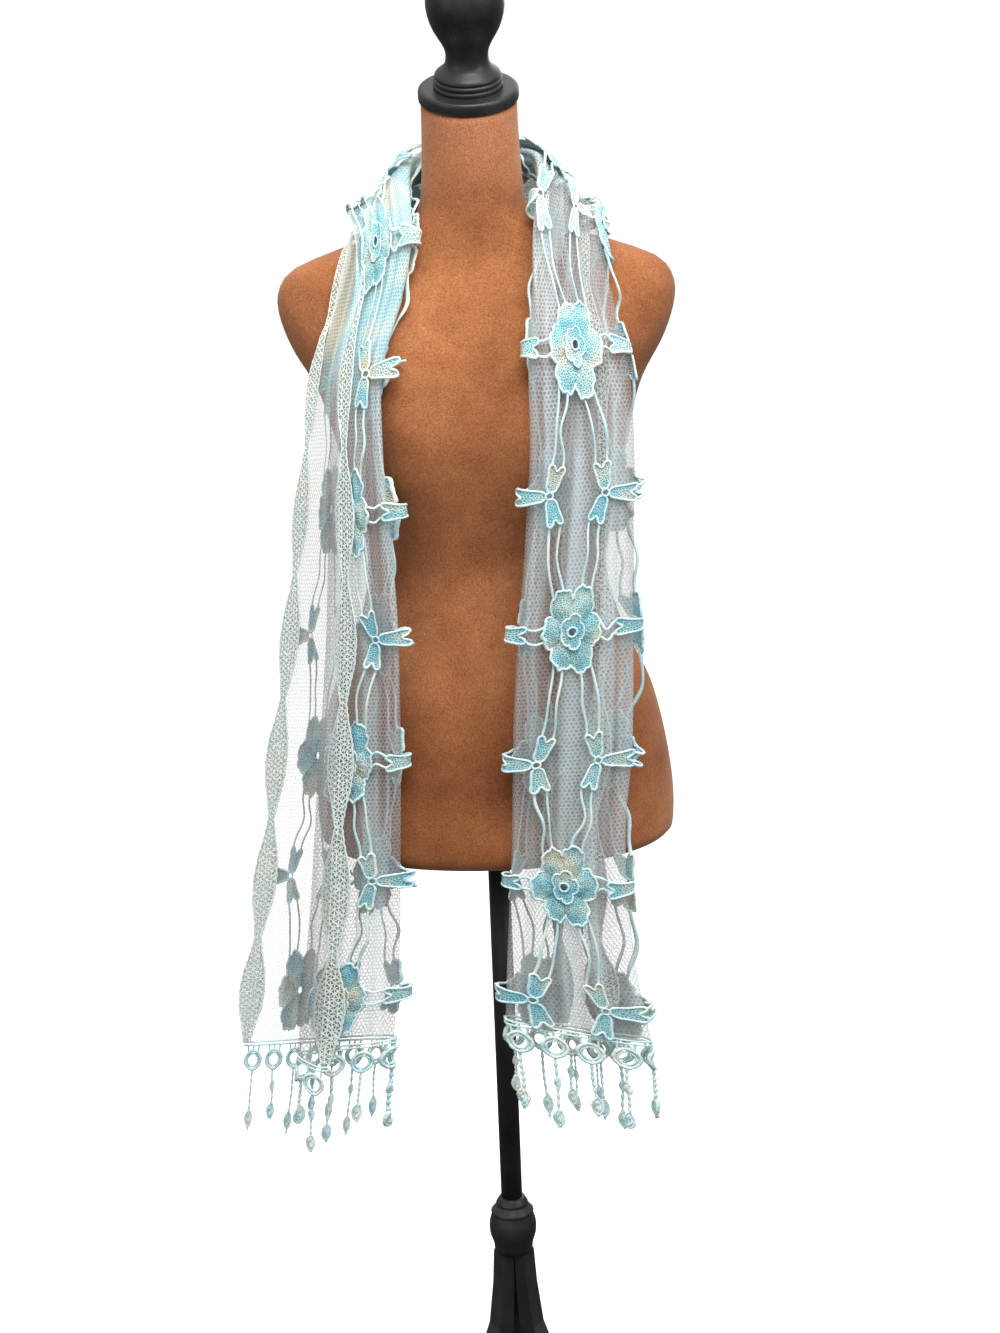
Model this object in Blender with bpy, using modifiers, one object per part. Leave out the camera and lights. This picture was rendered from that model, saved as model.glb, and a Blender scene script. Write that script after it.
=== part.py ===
"""Lace shawl worn round the neck of a limbless dress form, on the form's stand.

Metres, +Z up. The shawl is modelled flat, the way it is cut, and each point is then carried to
where the folded cloth hangs: u runs across the cut from edge A to edge B, v runs along it from
the hem on the left to the hem on the right, and w stands out from the face of the cloth.
"""

import math

import bmesh
import bpy
from mathutils import Matrix, Vector

MM = 0.001

# The origin is the middle of the footprint at floor level, and the pole stands behind it.
POLE_X = 0.0272
POLE_Y = -0.0435

# The dress form, from the floor up
TORSO_BOTTOM = 0.754
NECK_TOP = 1.480
NECK_TILT = math.radians(18)
TORSO_SIDES = 20
CAP_RADIUS = 0.047
CAP_THICK = 0.013
POLE_RADIUS = 0.011
POLE_FOOT = 0.240
HUB_TOP = 0.354
LEG_COUNT = 3
LEG_REACH = 0.235
LEG_WIDTH = 0.022
SEAM = 0.0003

# The cut of the shawl
CUT_WIDTH = 0.300
NET_HALF = 0.0005
FLOWER_COLUMN = 0.095
CONNECTOR_OFFSET = 0.028
OUTER_OFFSET = 0.028
LACE_LOW = 0.0026
LACE_THICK = 0.0014
CURVED_LIFT = 0.0018
FLOWER_DOME = 0.0014
CURVED_DOME = 0.0030
EDGING_LOW = 0.0026
EDGING_THICK = 0.0014
EDGING_LIFTS = (0.0006, 0.0026)
EDGING_CENTRE = 0.006
TRIM_HALF = 0.0008

# Height above the floor, half width, depth in front, depth behind, bust, y of the middle
TORSO_SECTIONS = (
    (0.754, 0.170, 0.108, 0.106, 0.000, 0.000),
    (0.764, 0.1775, 0.114, 0.113, 0.000, 0.000),
    (0.820, 0.177, 0.115, 0.114, 0.000, 0.000),
    (0.906, 0.160, 0.105, 0.102, 0.000, 0.000),
    (0.960, 0.136, 0.095, 0.091, 0.000, 0.000),
    (1.010, 0.120, 0.087, 0.084, 0.000, 0.000),
    (1.055, 0.117, 0.086, 0.086, 0.002, 0.000),
    (1.100, 0.124, 0.092, 0.094, 0.008, 0.000),
    (1.145, 0.137, 0.099, 0.101, 0.017, 0.000),
    (1.180, 0.146, 0.101, 0.105, 0.020, 0.000),
    (1.215, 0.157, 0.097, 0.106, 0.014, 0.000),
    (1.255, 0.179, 0.086, 0.104, 0.005, 0.000),
    (1.290, 0.190, 0.073, 0.096, 0.001, 0.002),
    (1.312, 0.187, 0.062, 0.086, 0.000, 0.003),
    (1.328, 0.172, 0.054, 0.076, 0.000, 0.003),
    (1.343, 0.133, 0.049, 0.066, 0.000, 0.003),
    (1.357, 0.088, 0.047, 0.056, 0.000, 0.002),
    (1.374, 0.056, 0.046, 0.048, 0.000, 0.001),
    (1.400, 0.0485, 0.0450, 0.0450, 0.000, 0.000),
    (1.440, 0.0460, 0.0445, 0.0445, 0.000, -0.001),
    (1.480, 0.0450, 0.0435, 0.0435, 0.000, -0.004),
)
BUST_SPREAD = 0.045
BUST_PLACE = 0.078

# Where the folded cloth rests: the outer edge of the bundle, then the edge nearer the neck
BAND_ROWS = (
    ((-0.258, -0.090, 0.585), (-0.107, -0.104, 0.585)),
    ((-0.242, -0.090, 0.680), (-0.097, -0.104, 0.680)),
    ((-0.224, -0.090, 0.780), (-0.092, -0.104, 0.780)),
    ((-0.209, -0.090, 0.880), (-0.0875, -0.104, 0.880)),
    ((-0.192, -0.090, 0.980), (-0.084, -0.104, 0.980)),
    ((-0.177, -0.089, 1.080), (-0.0855, -0.103, 1.080)),
    ((-0.164, -0.084, 1.165), (-0.089, -0.098, 1.170)),
    ((-0.153, -0.072, 1.230), (-0.0855, -0.0885, 1.242)),
    ((-0.138, -0.056, 1.286), (-0.066, -0.068, 1.304)),
    ((-0.123, -0.036, 1.339), (-0.054, -0.050, 1.357)),
    ((-0.118, -0.008, 1.352), (-0.0535, -0.021, 1.388)),
    ((-0.114, 0.020, 1.353), (-0.0525, 0.006, 1.406)),
    ((-0.098, 0.053, 1.3434), (-0.047, 0.032, 1.420)),
    ((-0.058, 0.083, 1.3286), (-0.028, 0.050, 1.426)),
    ((0.000, 0.093, 1.325), (0.000, 0.056, 1.428)),
    ((0.058, 0.083, 1.330), (0.028, 0.050, 1.426)),
    ((0.096, 0.053, 1.345), (0.047, 0.032, 1.420)),
    ((0.110, 0.020, 1.353), (0.0525, 0.006, 1.406)),
    ((0.112, -0.008, 1.352), (0.0535, -0.021, 1.388)),
    ((0.114, -0.037, 1.340), (0.051, -0.052, 1.354)),
    ((0.124, -0.062, 1.288), (0.047, -0.077, 1.298)),
    ((0.136, -0.086, 1.230), (0.042, -0.102, 1.234)),
    ((0.139, -0.094, 1.165), (0.041, -0.111, 1.165)),
    ((0.136, -0.101, 1.080), (0.034, -0.116, 1.080)),
    ((0.134, -0.104, 0.980), (0.023, -0.1185, 0.980)),
    ((0.130, -0.104, 0.880), (0.016, -0.1190, 0.880)),
    ((0.121, -0.104, 0.780), (0.011, -0.1190, 0.780)),
    ((0.127, -0.104, 0.680), (0.005, -0.1190, 0.680)),
    ((0.142, -0.104, 0.588), (-0.001, -0.1190, 0.588)),
)
SHOULDER_LEFT, NAPE, SHOULDER_RIGHT = 8, 14, 20
# Length along the cut at which the left stretch of the solids ends, between two rows of lace
SEAM_LEFT = 0.900

# How the cloth is folded, from edge A to edge B. Each row is one crease or flat between creases:
# (u in mm, share of the bundle's width from its outer edge, height over the rest in mm) for the
# hem on the left, where its flap stands up, the left shoulder, then the nape, the side of the
# neck on the right, and the right front.
FOLDS = (
    (
        (0, 0.05, 4.0), (0, 0.06, 4.0), (0, 0.08, 4.0),
        (0, 0.15, 5.5), (0, 0.26, 11.5), (0, 0.34, 12.0),
    ),
    (
        (62, 0.37, 3.5), (62, 0.37, 3.5), (62, 0.38, 3.5),
        (50, 0.42, 3.2), (42, 0.51, 9.5), (34, 0.60, 10.5),
    ),
    (
        (126, 0.68, 3.5), (126, 0.68, 3.5), (124, 0.69, 3.5),
        (98, 0.76, 3.2), (79, 0.77, 7.5), (60, 0.79, 9.2),
    ),
    (
        (165, 0.89, 4.0), (165, 0.89, 4.0), (163, 0.88, 4.0),
        (122, 0.90, 4.0), (100, 0.91, 7.2), (79, 0.92, 9.2),
    ),
    (
        (181, 0.97, 6.2), (181, 0.97, 6.2), (179, 0.96, 6.2),
        (131, 0.97, 6.3), (110, 0.975, 9.0), (89, 0.98, 11.0),
    ),
    (
        (187, 1.00, 10.5), (187, 1.00, 10.5), (185, 1.00, 10.5),
        (137, 1.00, 9.8), (116, 1.00, 13.0), (95, 1.00, 15.5),
    ),
    (
        (193, 0.97, 14.8), (193, 0.97, 14.8), (191, 0.96, 14.8),
        (143, 0.97, 13.2), (122, 0.975, 17.0), (101, 0.98, 20.0),
    ),
    (
        (204, 0.89, 16.5), (204, 0.88, 16.5), (203, 0.86, 16.5),
        (156, 0.88, 15.2), (135, 0.885, 19.0), (113, 0.89, 22.0),
    ),
    (
        (228, 0.72, 16.5), (230, 0.68, 16.5), (232, 0.64, 16.5),
        (190, 0.60, 15.5), (170, 0.58, 19.0), (150, 0.56, 22.0),
    ),
    (
        (252, 0.55, 16.8), (257, 0.48, 16.8), (262, 0.42, 16.6),
        (226, 0.32, 14.0), (215, 0.22, 18.4), (190, 0.19, 21.5),
    ),
    (
        (270, 0.40, 18.2), (278, 0.33, 18.4), (282, 0.25, 16.4),
        (262, 0.02, 8.0), (255, 0.05, 16.8), (205, 0.05, 18.5),
    ),
    (
        (276, 0.37, 23.0), (283, 0.29, 20.4), (286, 0.21, 16.2),
        (270, -0.04, 6.0), (268, 0.00, 13.4), (214, 0.00, 11.8),
    ),
    (
        (282, 0.40, 27.8), (287, 0.27, 22.6), (290, 0.17, 16.0),
        (280, -0.11, 4.2), (280, 0.01, 10.4), (225, 0.05, 4.8),
    ),
    (
        (289, 0.44, 29.5), (292, 0.25, 25.4), (294, 0.12, 15.7),
        (290, -0.18, 3.0), (290, 0.03, 7.8), (250, 0.27, 3.0),
    ),
    (
        (300, 0.51, 30.0), (300, 0.22, 30.2), (300, 0.05, 15.2),
        (300, -0.27, 3.0), (300, 0.08, 6.6), (300, 0.55, 3.0),
    ),
)

# The creases, counted from 0, at which lace that lies over them gets extra points
BENDS = (4, 5, 6, 10, 11, 12)
NECK_BENDS = (4, 5, 6, 10, 11, 12)
TRIM_BENDS = (0, 4, 5, 6, 10, 11, 12, 14)
# The left end's flap is folded down at this crease, and no lace lies inside the fold
FLAP_CREASE = 10

# Soft pleats of the net that shows in front: first u, last u, number of waves, depth, drift
PLEATS_LEFT = (0.204, 0.266, 2.0, 0.0008, 1.1)
PLEATS_RIGHT = (0.113, 0.190, 2.0, 0.0009, 0.8)

# How far the hem hangs below its line: number of the crease, drop, for the left and right end
HEM_DROP_LEFT = ((0, 0.004), (5, -0.004), (11, 0.009), (14, 0.020))
HEM_DROP_RIGHT = ((0, -0.002), (5, -0.027), (11, 0.014), (14, -0.006))
HEM_REACH = 0.30

# Spacing of the flower rows, from each hem and between the two runs, and the first row
ROW_PITCH_LEFT = 0.1205
ROW_PITCH_RIGHT = 0.1278
FIRST_ROW_LEFT = 0.0500
FIRST_ROW_RIGHT = 0.0285
ROWS_LEFT = 7
ROWS_RIGHT = 7
ROWS_BETWEEN = 3

# Colours
AQUA = (0.62, 0.82, 0.83, 1.0)
NET_WHITE = (0.78, 0.80, 0.79, 1.0)
SUEDE = (0.36, 0.135, 0.050, 1.0)
BLACK = (0.016, 0.016, 0.017, 1.0)


# Objects and materials


def clear_scene():
    for old in list(bpy.data.objects):
        bpy.data.objects.remove(old)


def finish_colour(name, colour, roughness):
    material = bpy.data.materials.new(name)
    material.use_nodes = True
    shader = material.node_tree.nodes["Principled BSDF"]
    shader.inputs["Base Color"].default_value = colour
    shader.inputs["Roughness"].default_value = roughness
    return material


def add_object(name, mesh, material, collection):
    placed = bpy.data.objects.new(name, mesh)
    placed.data.materials.append(material)
    placed.location = (POLE_X, POLE_Y, 0)
    collection.objects.link(placed)
    return placed


def mesh_of(bm, name, smooth=True):
    bmesh.ops.recalc_face_normals(bm, faces=bm.faces)
    mesh = bpy.data.meshes.new(name)
    bm.to_mesh(mesh)
    bm.free()
    if smooth:
        mesh.shade_smooth()
    return mesh


def turned(name, profile, sides, material, collection):
    """A solid of revolution about Z. The profile runs from the axis at the top to the axis below."""
    mesh = bpy.data.meshes.new(name)
    points = [(radius, 0, height) for radius, height in profile]
    edges = [(i, i + 1) for i in range(len(points) - 1)]
    mesh.from_pydata(points, edges, [])
    placed = add_object(name, mesh, material, collection)
    screw = placed.modifiers.new("turn", "SCREW")
    screw.steps = sides
    screw.render_steps = sides
    screw.use_merge_vertices = True
    screw.merge_threshold = 0.00005
    return placed


# The dress form and its stand


def bust_at(x):
    """1 on either bust point, falling to 0 away from it."""
    return math.exp(-(((abs(x) - BUST_PLACE) / BUST_SPREAD) ** 2))


def torso_ring(height, half_width, front, behind, bust, middle):
    ring = []
    lean = math.tan(NECK_TILT) * max(0.0, min(1.0, (height - 1.41) / (NECK_TOP - 1.41)))
    for i in range(TORSO_SIDES):
        turn = 2 * math.pi * i / TORSO_SIDES
        x = half_width * math.cos(turn)
        depth = front + bust * bust_at(x) if math.sin(turn) < 0 else behind
        y = middle + depth * math.sin(turn)
        ring.append(Vector((x, y, height + lean * y)))
    return ring


def make_torso(material, collection):
    bm = bmesh.new()
    rings = []
    for section in TORSO_SECTIONS:
        points = [bm.verts.new(co) for co in torso_ring(*section)]
        rings.append([bm.edges.new((points[i - 1], points[i])) for i in range(TORSO_SIDES)])
    for lower, upper in zip(rings, rings[1:]):
        bmesh.ops.bridge_loops(bm, edges=lower + upper)
    bmesh.ops.holes_fill(bm, edges=rings[0] + rings[-1], sides=0)
    add_object("form_torso", mesh_of(bm, "form_torso"), material, collection)


def make_neck_parts(material, collection):
    """The tilted cap on the neck, and the turned finial that stands on it."""
    middle = -0.004
    seat_height = NECK_TOP + middle * math.tan(NECK_TILT) + SEAM / math.cos(NECK_TILT)
    seat = Vector((0, middle, seat_height))
    cap = turned(
        "neck_cap",
        (
            (0, CAP_THICK),
            (CAP_RADIUS - 0.002, CAP_THICK),
            (CAP_RADIUS, CAP_THICK - 0.003),
            (CAP_RADIUS, 0.003),
            (CAP_RADIUS - 0.002, 0),
            (0, 0),
        ),
        18,
        material,
        collection,
    )
    finial = turned(
        "finial",
        (
            (0, 0.122),
            (0.015, 0.119),
            (0.027, 0.109),
            (0.0350, 0.092),
            (0.0365, 0.078),
            (0.0330, 0.060),
            (0.0240, 0.043),
            (0.0198, 0.032),
            (0.0210, 0.024),
            (0.0270, 0.018),
            (0.0312, 0.013),
            (0.0325, 0.005),
            (0.0310, 0),
            (0, 0),
        ),
        14,
        material,
        collection,
    )
    tilt = Matrix.Rotation(-NECK_TILT, 4, "X").inverted()
    for piece, height in ((cap, 0), (finial, CAP_THICK + SEAM)):
        piece.rotation_euler = tilt.to_euler()
        offset = seat + tilt @ Vector((0, 0, height))
        piece.location = Vector((POLE_X, POLE_Y, 0)) + offset


def make_stand(material, metal, collection):
    turned(
        "pole",
        (
            (0, TORSO_BOTTOM - SEAM),
            (POLE_RADIUS, TORSO_BOTTOM - SEAM),
            (POLE_RADIUS, HUB_TOP + SEAM),
            (0, HUB_TOP + SEAM),
        ),
        14,
        metal,
        collection,
    )
    turned(
        "stand_hub",
        (
            (0, HUB_TOP),
            (0.0125, HUB_TOP),
            (0.0160, HUB_TOP - 0.004),
            (0.0165, HUB_TOP - 0.009),
            (0.0195, HUB_TOP - 0.012),
            (0.0215, HUB_TOP - 0.018),
            (0.0245, HUB_TOP - 0.030),
            (0.0240, HUB_TOP - 0.042),
            (0.0205, HUB_TOP - 0.054),
            (0.0200, HUB_TOP - 0.061),
            (0.0060, HUB_TOP - 0.061),
            (0.0060, POLE_FOOT),
            (0, POLE_FOOT),
        ),
        14,
        material,
        collection,
    )
    for number in range(LEG_COUNT):
        make_leg(number, material, collection)


def make_leg(number, material, collection):
    """One flat bent leg: it lies along the hub, then sweeps out to the floor."""
    # Distance from the pole, height, and half the leg's depth square to its run
    outline = (
        (0.0125, 0.2927, 0.0055),
        (0.0140, 0.2550, 0.0065),
        (0.0185, 0.2080, 0.0085),
        (0.0400, 0.1500, 0.0105),
        (0.0870, 0.0880, 0.0110),
        (0.1520, 0.0400, 0.0110),
        (0.2050, 0.0170, 0.0105),
    )
    bm = bmesh.new()
    corners = []
    for i, (reach, height, half) in enumerate(outline):
        before, after = outline[max(i - 1, 0)], outline[min(i + 1, len(outline) - 1)]
        run = Vector((after[0] - before[0], after[1] - before[1])).normalized()
        if i == 0:
            run = Vector((0, -1))
        out = Vector((-run.y, run.x)) * half
        corners.append(((reach + out.x, height + out.y), (reach - out.x, height - out.y)))
    corners.append(((LEG_REACH, 0.016), (LEG_REACH - 0.030, 0.0)))
    corners.append(((LEG_REACH, 0.0), None))
    upper = [c[0] for c in corners[:-1]]
    lower = [c[1] for c in corners[:-1]]
    loop = upper + [corners[-1][0]] + lower[::-1]
    face = bm.faces.new([bm.verts.new((reach, -LEG_WIDTH / 2, height)) for reach, height in loop])
    grown = bmesh.ops.extrude_face_region(bm, geom=[face], use_keep_orig=True)
    moved = [g for g in grown["geom"] if isinstance(g, bmesh.types.BMVert)]
    bmesh.ops.translate(bm, verts=moved, vec=(0, LEG_WIDTH, 0))
    bmesh.ops.triangulate(bm, faces=[f for f in bm.faces if len(f.verts) > 4])
    direction = math.radians(90 + 360 / LEG_COUNT * number)
    bmesh.ops.rotate(bm, verts=bm.verts, cent=(0, 0, 0), matrix=Matrix.Rotation(direction, 3, "Z"))
    name = f"stand_leg_{number + 1}"
    add_object(name, mesh_of(bm, name, smooth=False), material, collection)


# The cloth: from flat to worn


def smooth_through(values, at):
    """A smooth curve through (place, value) pairs, read at one place."""
    last = len(values) - 1
    i = 0
    while i < last - 1 and at > values[i + 1][0]:
        i += 1
    (x0, y0), (x1, y1) = values[i], values[i + 1]
    span = x1 - x0
    middle = (y1 - y0) / span
    start = (y1 - values[i - 1][1]) / (x1 - values[i - 1][0]) if i > 0 else middle
    end = (values[i + 2][1] - y0) / (values[i + 2][0] - x0) if i < last - 1 else middle
    if at < x0:
        return y0 + start * (at - x0)
    if at > x1:
        return y1 + end * (at - x1)
    t = (at - x0) / span
    return (
        y0 * (1 + 2 * t) * (1 - t) ** 2
        + start * span * t * (1 - t) ** 2
        + y1 * t * t * (3 - 2 * t)
        - end * span * t * t * (1 - t)
    )


def between(rows, at):
    """Straight lines through (place, value) pairs, level past the ends."""
    if at <= rows[0][0]:
        return rows[0][1]
    for (x0, y0), (x1, y1) in zip(rows, rows[1:]):
        if at <= x1:
            return y0 + (y1 - y0) * (at - x0) / (x1 - x0)
    return rows[-1][1]


class Band:
    """The folded shawl's path over the form: where its two borders run, by length along it."""

    def __init__(self):
        middles = [(Vector(o) + Vector(i)) / 2 for o, i in BAND_ROWS]
        self.at = [0.0]
        for a, b in zip(middles, middles[1:]):
            self.at.append(self.at[-1] + (b - a).length)
        self.length = self.at[-1]
        self.columns = [
            [[(v, Vector(row[side])[axis]) for v, row in zip(self.at, BAND_ROWS)] for axis in range(3)]
            for side in range(2)
        ]
        self.ends = (SEAM_LEFT, self.at[SHOULDER_RIGHT])
        self.known = {}

    def border(self, side, v):
        return Vector([smooth_through(column, v) for column in self.columns[side]])

    def frame(self, v):
        """The outer border, the way across, the width and the way out of the cloth at v."""
        key = round(v, 6)
        if key not in self.known:
            v = min(max(v, 0.0), self.length)
            outer, inner = self.border(0, v), self.border(1, v)
            step = 0.004
            ahead = (self.border(0, v + step) + self.border(1, v + step)) / 2
            behind = (self.border(0, v - step) + self.border(1, v - step)) / 2
            across = inner - outer
            out = across.cross(ahead - behind).normalized()
            over = key - v
            shift = (ahead - behind).normalized() * over
            self.known[key] = (outer + shift, across.normalized(), across.length, out)
        return self.known[key]

    def folds(self, v):
        """The creases at v: [(u, share of the width, height)], blended between the five places."""
        places = (
            (0.0, 0),
            (self.at[SHOULDER_LEFT], 0),
            (self.at[10], 1),
            (self.at[12], 2),
            (self.at[NAPE], 3),
            (self.at[17], 4),
            (self.at[SHOULDER_RIGHT] + 0.02, 5),
            (self.length, 5),
        )
        stage = between(places, v)
        first = min(int(stage), 4)
        part = stage - first
        part = part * part * (3 - 2 * part)
        return [
            [row[first][k] + (row[first + 1][k] - row[first][k]) * part for k in range(3)]
            for row in FOLDS
        ]


BAND = Band()
FOLDS_KNOWN = {}


def creases(v):
    key = round(v, 6)
    if key not in FOLDS_KNOWN:
        rows = BAND.folds(min(max(v, 0.0), BAND.length))
        FOLDS_KNOWN[key] = (
            [(u * MM, share) for u, share, _ in rows],
            [(u * MM, height * MM) for u, _, height in rows],
            [u * MM for u, _, _ in rows],
        )
    return FOLDS_KNOWN[key]


def crease_number(u, v):
    """How many creases lie before u, with a fraction for the place between two of them."""
    edges = creases(v)[2]
    if u <= edges[0]:
        return (u - edges[0]) * 20
    for i, (a, b) in enumerate(zip(edges, edges[1:])):
        if u <= b:
            return i + (u - a) / (b - a)
    return len(edges) - 1 + (u - edges[-1]) * 20


def crease_place(number, v):
    edges = creases(v)[2]
    if number <= 0:
        return edges[0] + number / 20
    if number >= len(edges) - 1:
        return edges[-1] + (number - len(edges) + 1) / 20
    i = int(number)
    return edges[i] + (edges[i + 1] - edges[i]) * (number - i)


def pleat(u, v):
    """Height of the soft pleats in the net that shows in front."""
    left = v < BAND.length / 2
    first, last, waves, depth, drift = PLEATS_LEFT if left else PLEATS_RIGHT
    run = v if left else BAND.length - v
    if not first < u < last:
        return 0.0
    share = (u - first) / (last - first)
    fade = min(1.0, max(0.0, (BAND.at[SHOULDER_LEFT] - run) / 0.15)) * math.sin(math.pi * share) ** 0.5
    return depth * fade * math.sin(2 * math.pi * (waves * share + drift * run))


def hem_drop(u, v):
    left = v < BAND.length / 2
    run = v if left else BAND.length - v
    fade = min(1.0, max(0.0, 1 - run / HEM_REACH))
    edges = creases(v)[2]
    rows = [(edges[number], drop) for number, drop in (HEM_DROP_LEFT if left else HEM_DROP_RIGHT)]
    return between(rows, u) * fade * fade * (3 - 2 * fade)


def section_point(u, v, width):
    """Place in the folded section: distance from the outer border, and height over the rest."""
    shares, heights, _ = creases(v)
    return smooth_through(shares, u) * width, smooth_through(heights, u) + pleat(u, v)


def worn(u, v, w):
    """Where the flat cloth's point (u, v) lies when the shawl is worn, w out from its face."""
    outer, across, width, out = BAND.frame(v)
    step = 0.0008
    along0, height0 = section_point(u - step, v, width)
    along1, height1 = section_point(u + step, v, width)
    along, height = section_point(u, v, width)
    run = Vector((along1 - along0, height1 - height0)).normalized()
    along += run.y * w
    height -= run.x * w
    point = outer + across * along + out * height
    point.z -= hem_drop(u, v)
    return point


# Flat pieces, given a thickness and worn


def net_lines(v, quarter):
    """The u of each line of the net's grid at v: every crease, and points between them."""
    edges = creases(v)[2]
    lines = []
    for i, (a, b) in enumerate(zip(edges, edges[1:])):
        parts = quarter[i]
        lines += [a + (b - a) * k / parts for k in range(parts)]
    return lines + [edges[-1]]


GRID_PARTS_LEFT = (1, 1, 1, 1, 1, 1, 1, 2, 2, 1, 1, 1, 1, 1)
GRID_PARTS_NECK = (1, 1, 1, 1, 1, 1, 1, 1, 2, 1, 1, 1, 1, 1)
GRID_PARTS_RIGHT = (1, 1, 1, 1, 1, 1, 1, 2, 2, 1, 1, 1, 1, 1)


def net_stations(start, end):
    """The v of each row of the net: far apart down the fronts and close over the shoulders."""
    places = [start]
    while places[-1] < end - 0.001:
        v = places[-1]
        straight = v < BAND.at[4] - 0.02 or v > BAND.at[22]
        places.append(v + (0.105 if straight else 0.030))
    spare = (end - start) / (places[-1] - start)
    return [start + (v - start) * spare for v in places]


def make_net(name, start, end, parts, material, collection):
    """One stretch of the net ground: a wall of even thickness along the folded path."""
    bm = bmesh.new()
    layers = {}
    stations = net_stations(start, end)
    rows = len(stations) - 1
    for side in (-NET_HALF, NET_HALF):
        for j, v in enumerate(stations):
            layers[side, j] = [bm.verts.new(worn(u, v, side)) for u in net_lines(v, parts)]
    count = len(layers[NET_HALF, 0])
    for j in range(rows):
        for i in range(count - 1):
            for side in (-NET_HALF, NET_HALF):
                a, b = layers[side, j], layers[side, j + 1]
                bm.faces.new((a[i], a[i + 1], b[i + 1], b[i]))
        for i in (0, count - 1):
            near, far = -NET_HALF, NET_HALF
            bm.faces.new((layers[near, j][i], layers[near, j + 1][i], layers[far, j + 1][i], layers[far, j][i]))
    for j in (0, rows):
        for i in range(count - 1):
            near, far = layers[-NET_HALF, j], layers[NET_HALF, j]
            bm.faces.new((near[i], near[i + 1], far[i + 1], far[i]))
    bmesh.ops.triangulate(bm, faces=bm.faces)
    add_object(name, mesh_of(bm, name), material, collection)


def over_shoulders(v):
    """0 down the fronts and 1 over the shoulders and round the neck."""
    places = ((BAND.at[5], 0), (BAND.at[7], 1), (BAND.at[21], 1), (BAND.at[23], 0))
    return between(places, v)


class FlatPlate:
    """Lace drawn flat on the table, then given its thickness and worn."""

    def __init__(self):
        self.bm = bmesh.new()

    def point(self, u, v, lift=0.0):
        return self.bm.verts.new((u, v, lift))

    def face(self, points):
        self.bm.faces.new(points)

    def fan(self, centre, outline):
        for a, b in zip(outline, outline[1:] + outline[:1]):
            self.face((centre, a, b))

    def cut(self, place, normal):
        everything = self.bm.verts[:] + self.bm.edges[:] + self.bm.faces[:]
        bmesh.ops.bisect_plane(self.bm, geom=everything, dist=0.0003, plane_co=place, plane_no=normal)

    def bend_along(self, numbers, stations, last_crease=None):
        """Adds points where the plate crosses these creases and these lines of v.

        Nothing is kept past the last crease, if one is given.
        """
        for v in stations:
            self.cut((0, v, 0), (0, 1, 0))
        bmesh.ops.triangulate(self.bm, faces=[f for f in self.bm.faces if len(f.verts) > 4])
        for vert in self.bm.verts:
            vert.co.x = crease_number(vert.co.x, vert.co.y) * 0.01
        for number in numbers:
            self.cut((number * 0.01, 0, 0), (1, 0, 0))
        if last_crease is not None:
            past = [f for f in self.bm.faces if f.calc_center_median().x > last_crease * 0.01]
            bmesh.ops.delete(self.bm, geom=past, context="FACES")
            self.drop_corner_touches()
        for vert in self.bm.verts:
            vert.co.x = crease_place(vert.co.x * 100, vert.co.y)

    def drop_corner_touches(self):
        """Removes faces that hang on by one point only, until every border is a clean loop."""
        touching = True
        while touching:
            touching = None
            for vert in self.bm.verts:
                if sum(len(e.link_faces) == 1 for e in vert.link_edges) > 2:
                    touching = vert
                    break
            if touching:
                loose = min(touching.link_faces, key=lambda f: -f.calc_center_median().x)
                bmesh.ops.delete(self.bm, geom=[loose], context="FACES")

    def wear(self, name, low, thick, material, collection, curved_lift=CURVED_LIFT):
        bm = self.bm
        bmesh.ops.triangulate(bm, faces=bm.faces)
        under = {}
        for vert in bm.verts[:]:
            u, v, lift = vert.co
            lift += curved_lift * over_shoulders(v)
            under[vert] = bm.verts.new(worn(u, v, low + lift))
            vert.co = worn(u, v, low + thick + lift)
        rims = [e for e in bm.edges if len(e.link_faces) == 1]
        tops = bm.faces[:]
        for edge in rims:
            a, b = edge.verts
            bm.faces.new((a, b, under[b], under[a]))
        for face in tops:
            bm.faces.new([under[v] for v in reversed(face.verts)])
        bmesh.ops.triangulate(bm, faces=bm.faces)
        add_object(name, mesh_of(bm, name), material, collection)


# The guipure lace: flowers, three-armed connectors and the cords between them

# Place along one lozenge of the edging as a share of its length, and half its width
LOZENGE = ((0.0, 0.0040), (0.26, 0.0100), (0.5, 0.0135), (0.74, 0.0100))

FLOWER_HALF_WIDTH = 0.030
FLOWER_HALF_HEIGHT = 0.041
PETAL_BREADTH = 20
# Petal angle in degrees, and its tip points as (share of half its breadth, reach)
WIDE_PETAL = ((-1.0, 0.90), (-0.62, 1.0), (0.62, 1.0), (1.0, 0.90))
SIDE_PETAL = ((-0.75, 0.98), (0.75, 0.98))
PETALS = (
    (0, SIDE_PETAL),
    (60, WIDE_PETAL),
    (120, WIDE_PETAL),
    (180, SIDE_PETAL),
    (240, WIDE_PETAL),
    (300, WIDE_PETAL),
)
NOTCH_REACH = 0.72
PAST_PETALS = 0.0455
ARM_LENGTH = 0.020
OUTER_ARM = 0.0150
ARM_HALF = 0.0054
FORK_WIDTH = 0.0032
CORD_HALF = 0.0013
ARM_NAMES = {0: "level", 180: "level", 105: "up", 75: "up", 255: "down", 285: "down"}
SIDE_TIP_HALF = 0.0030


def flower_point(centre, degrees, reach):
    turn = math.radians(degrees)
    u = centre[0] + FLOWER_HALF_WIDTH * reach * math.cos(turn)
    v = centre[1] + FLOWER_HALF_HEIGHT * reach * math.sin(turn)
    return u, v


def petal_places(centre, angle):
    shape = dict(PETALS)[angle]
    return [flower_point(centre, angle + share * PETAL_BREADTH, reach) for share, reach in shape]


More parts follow.
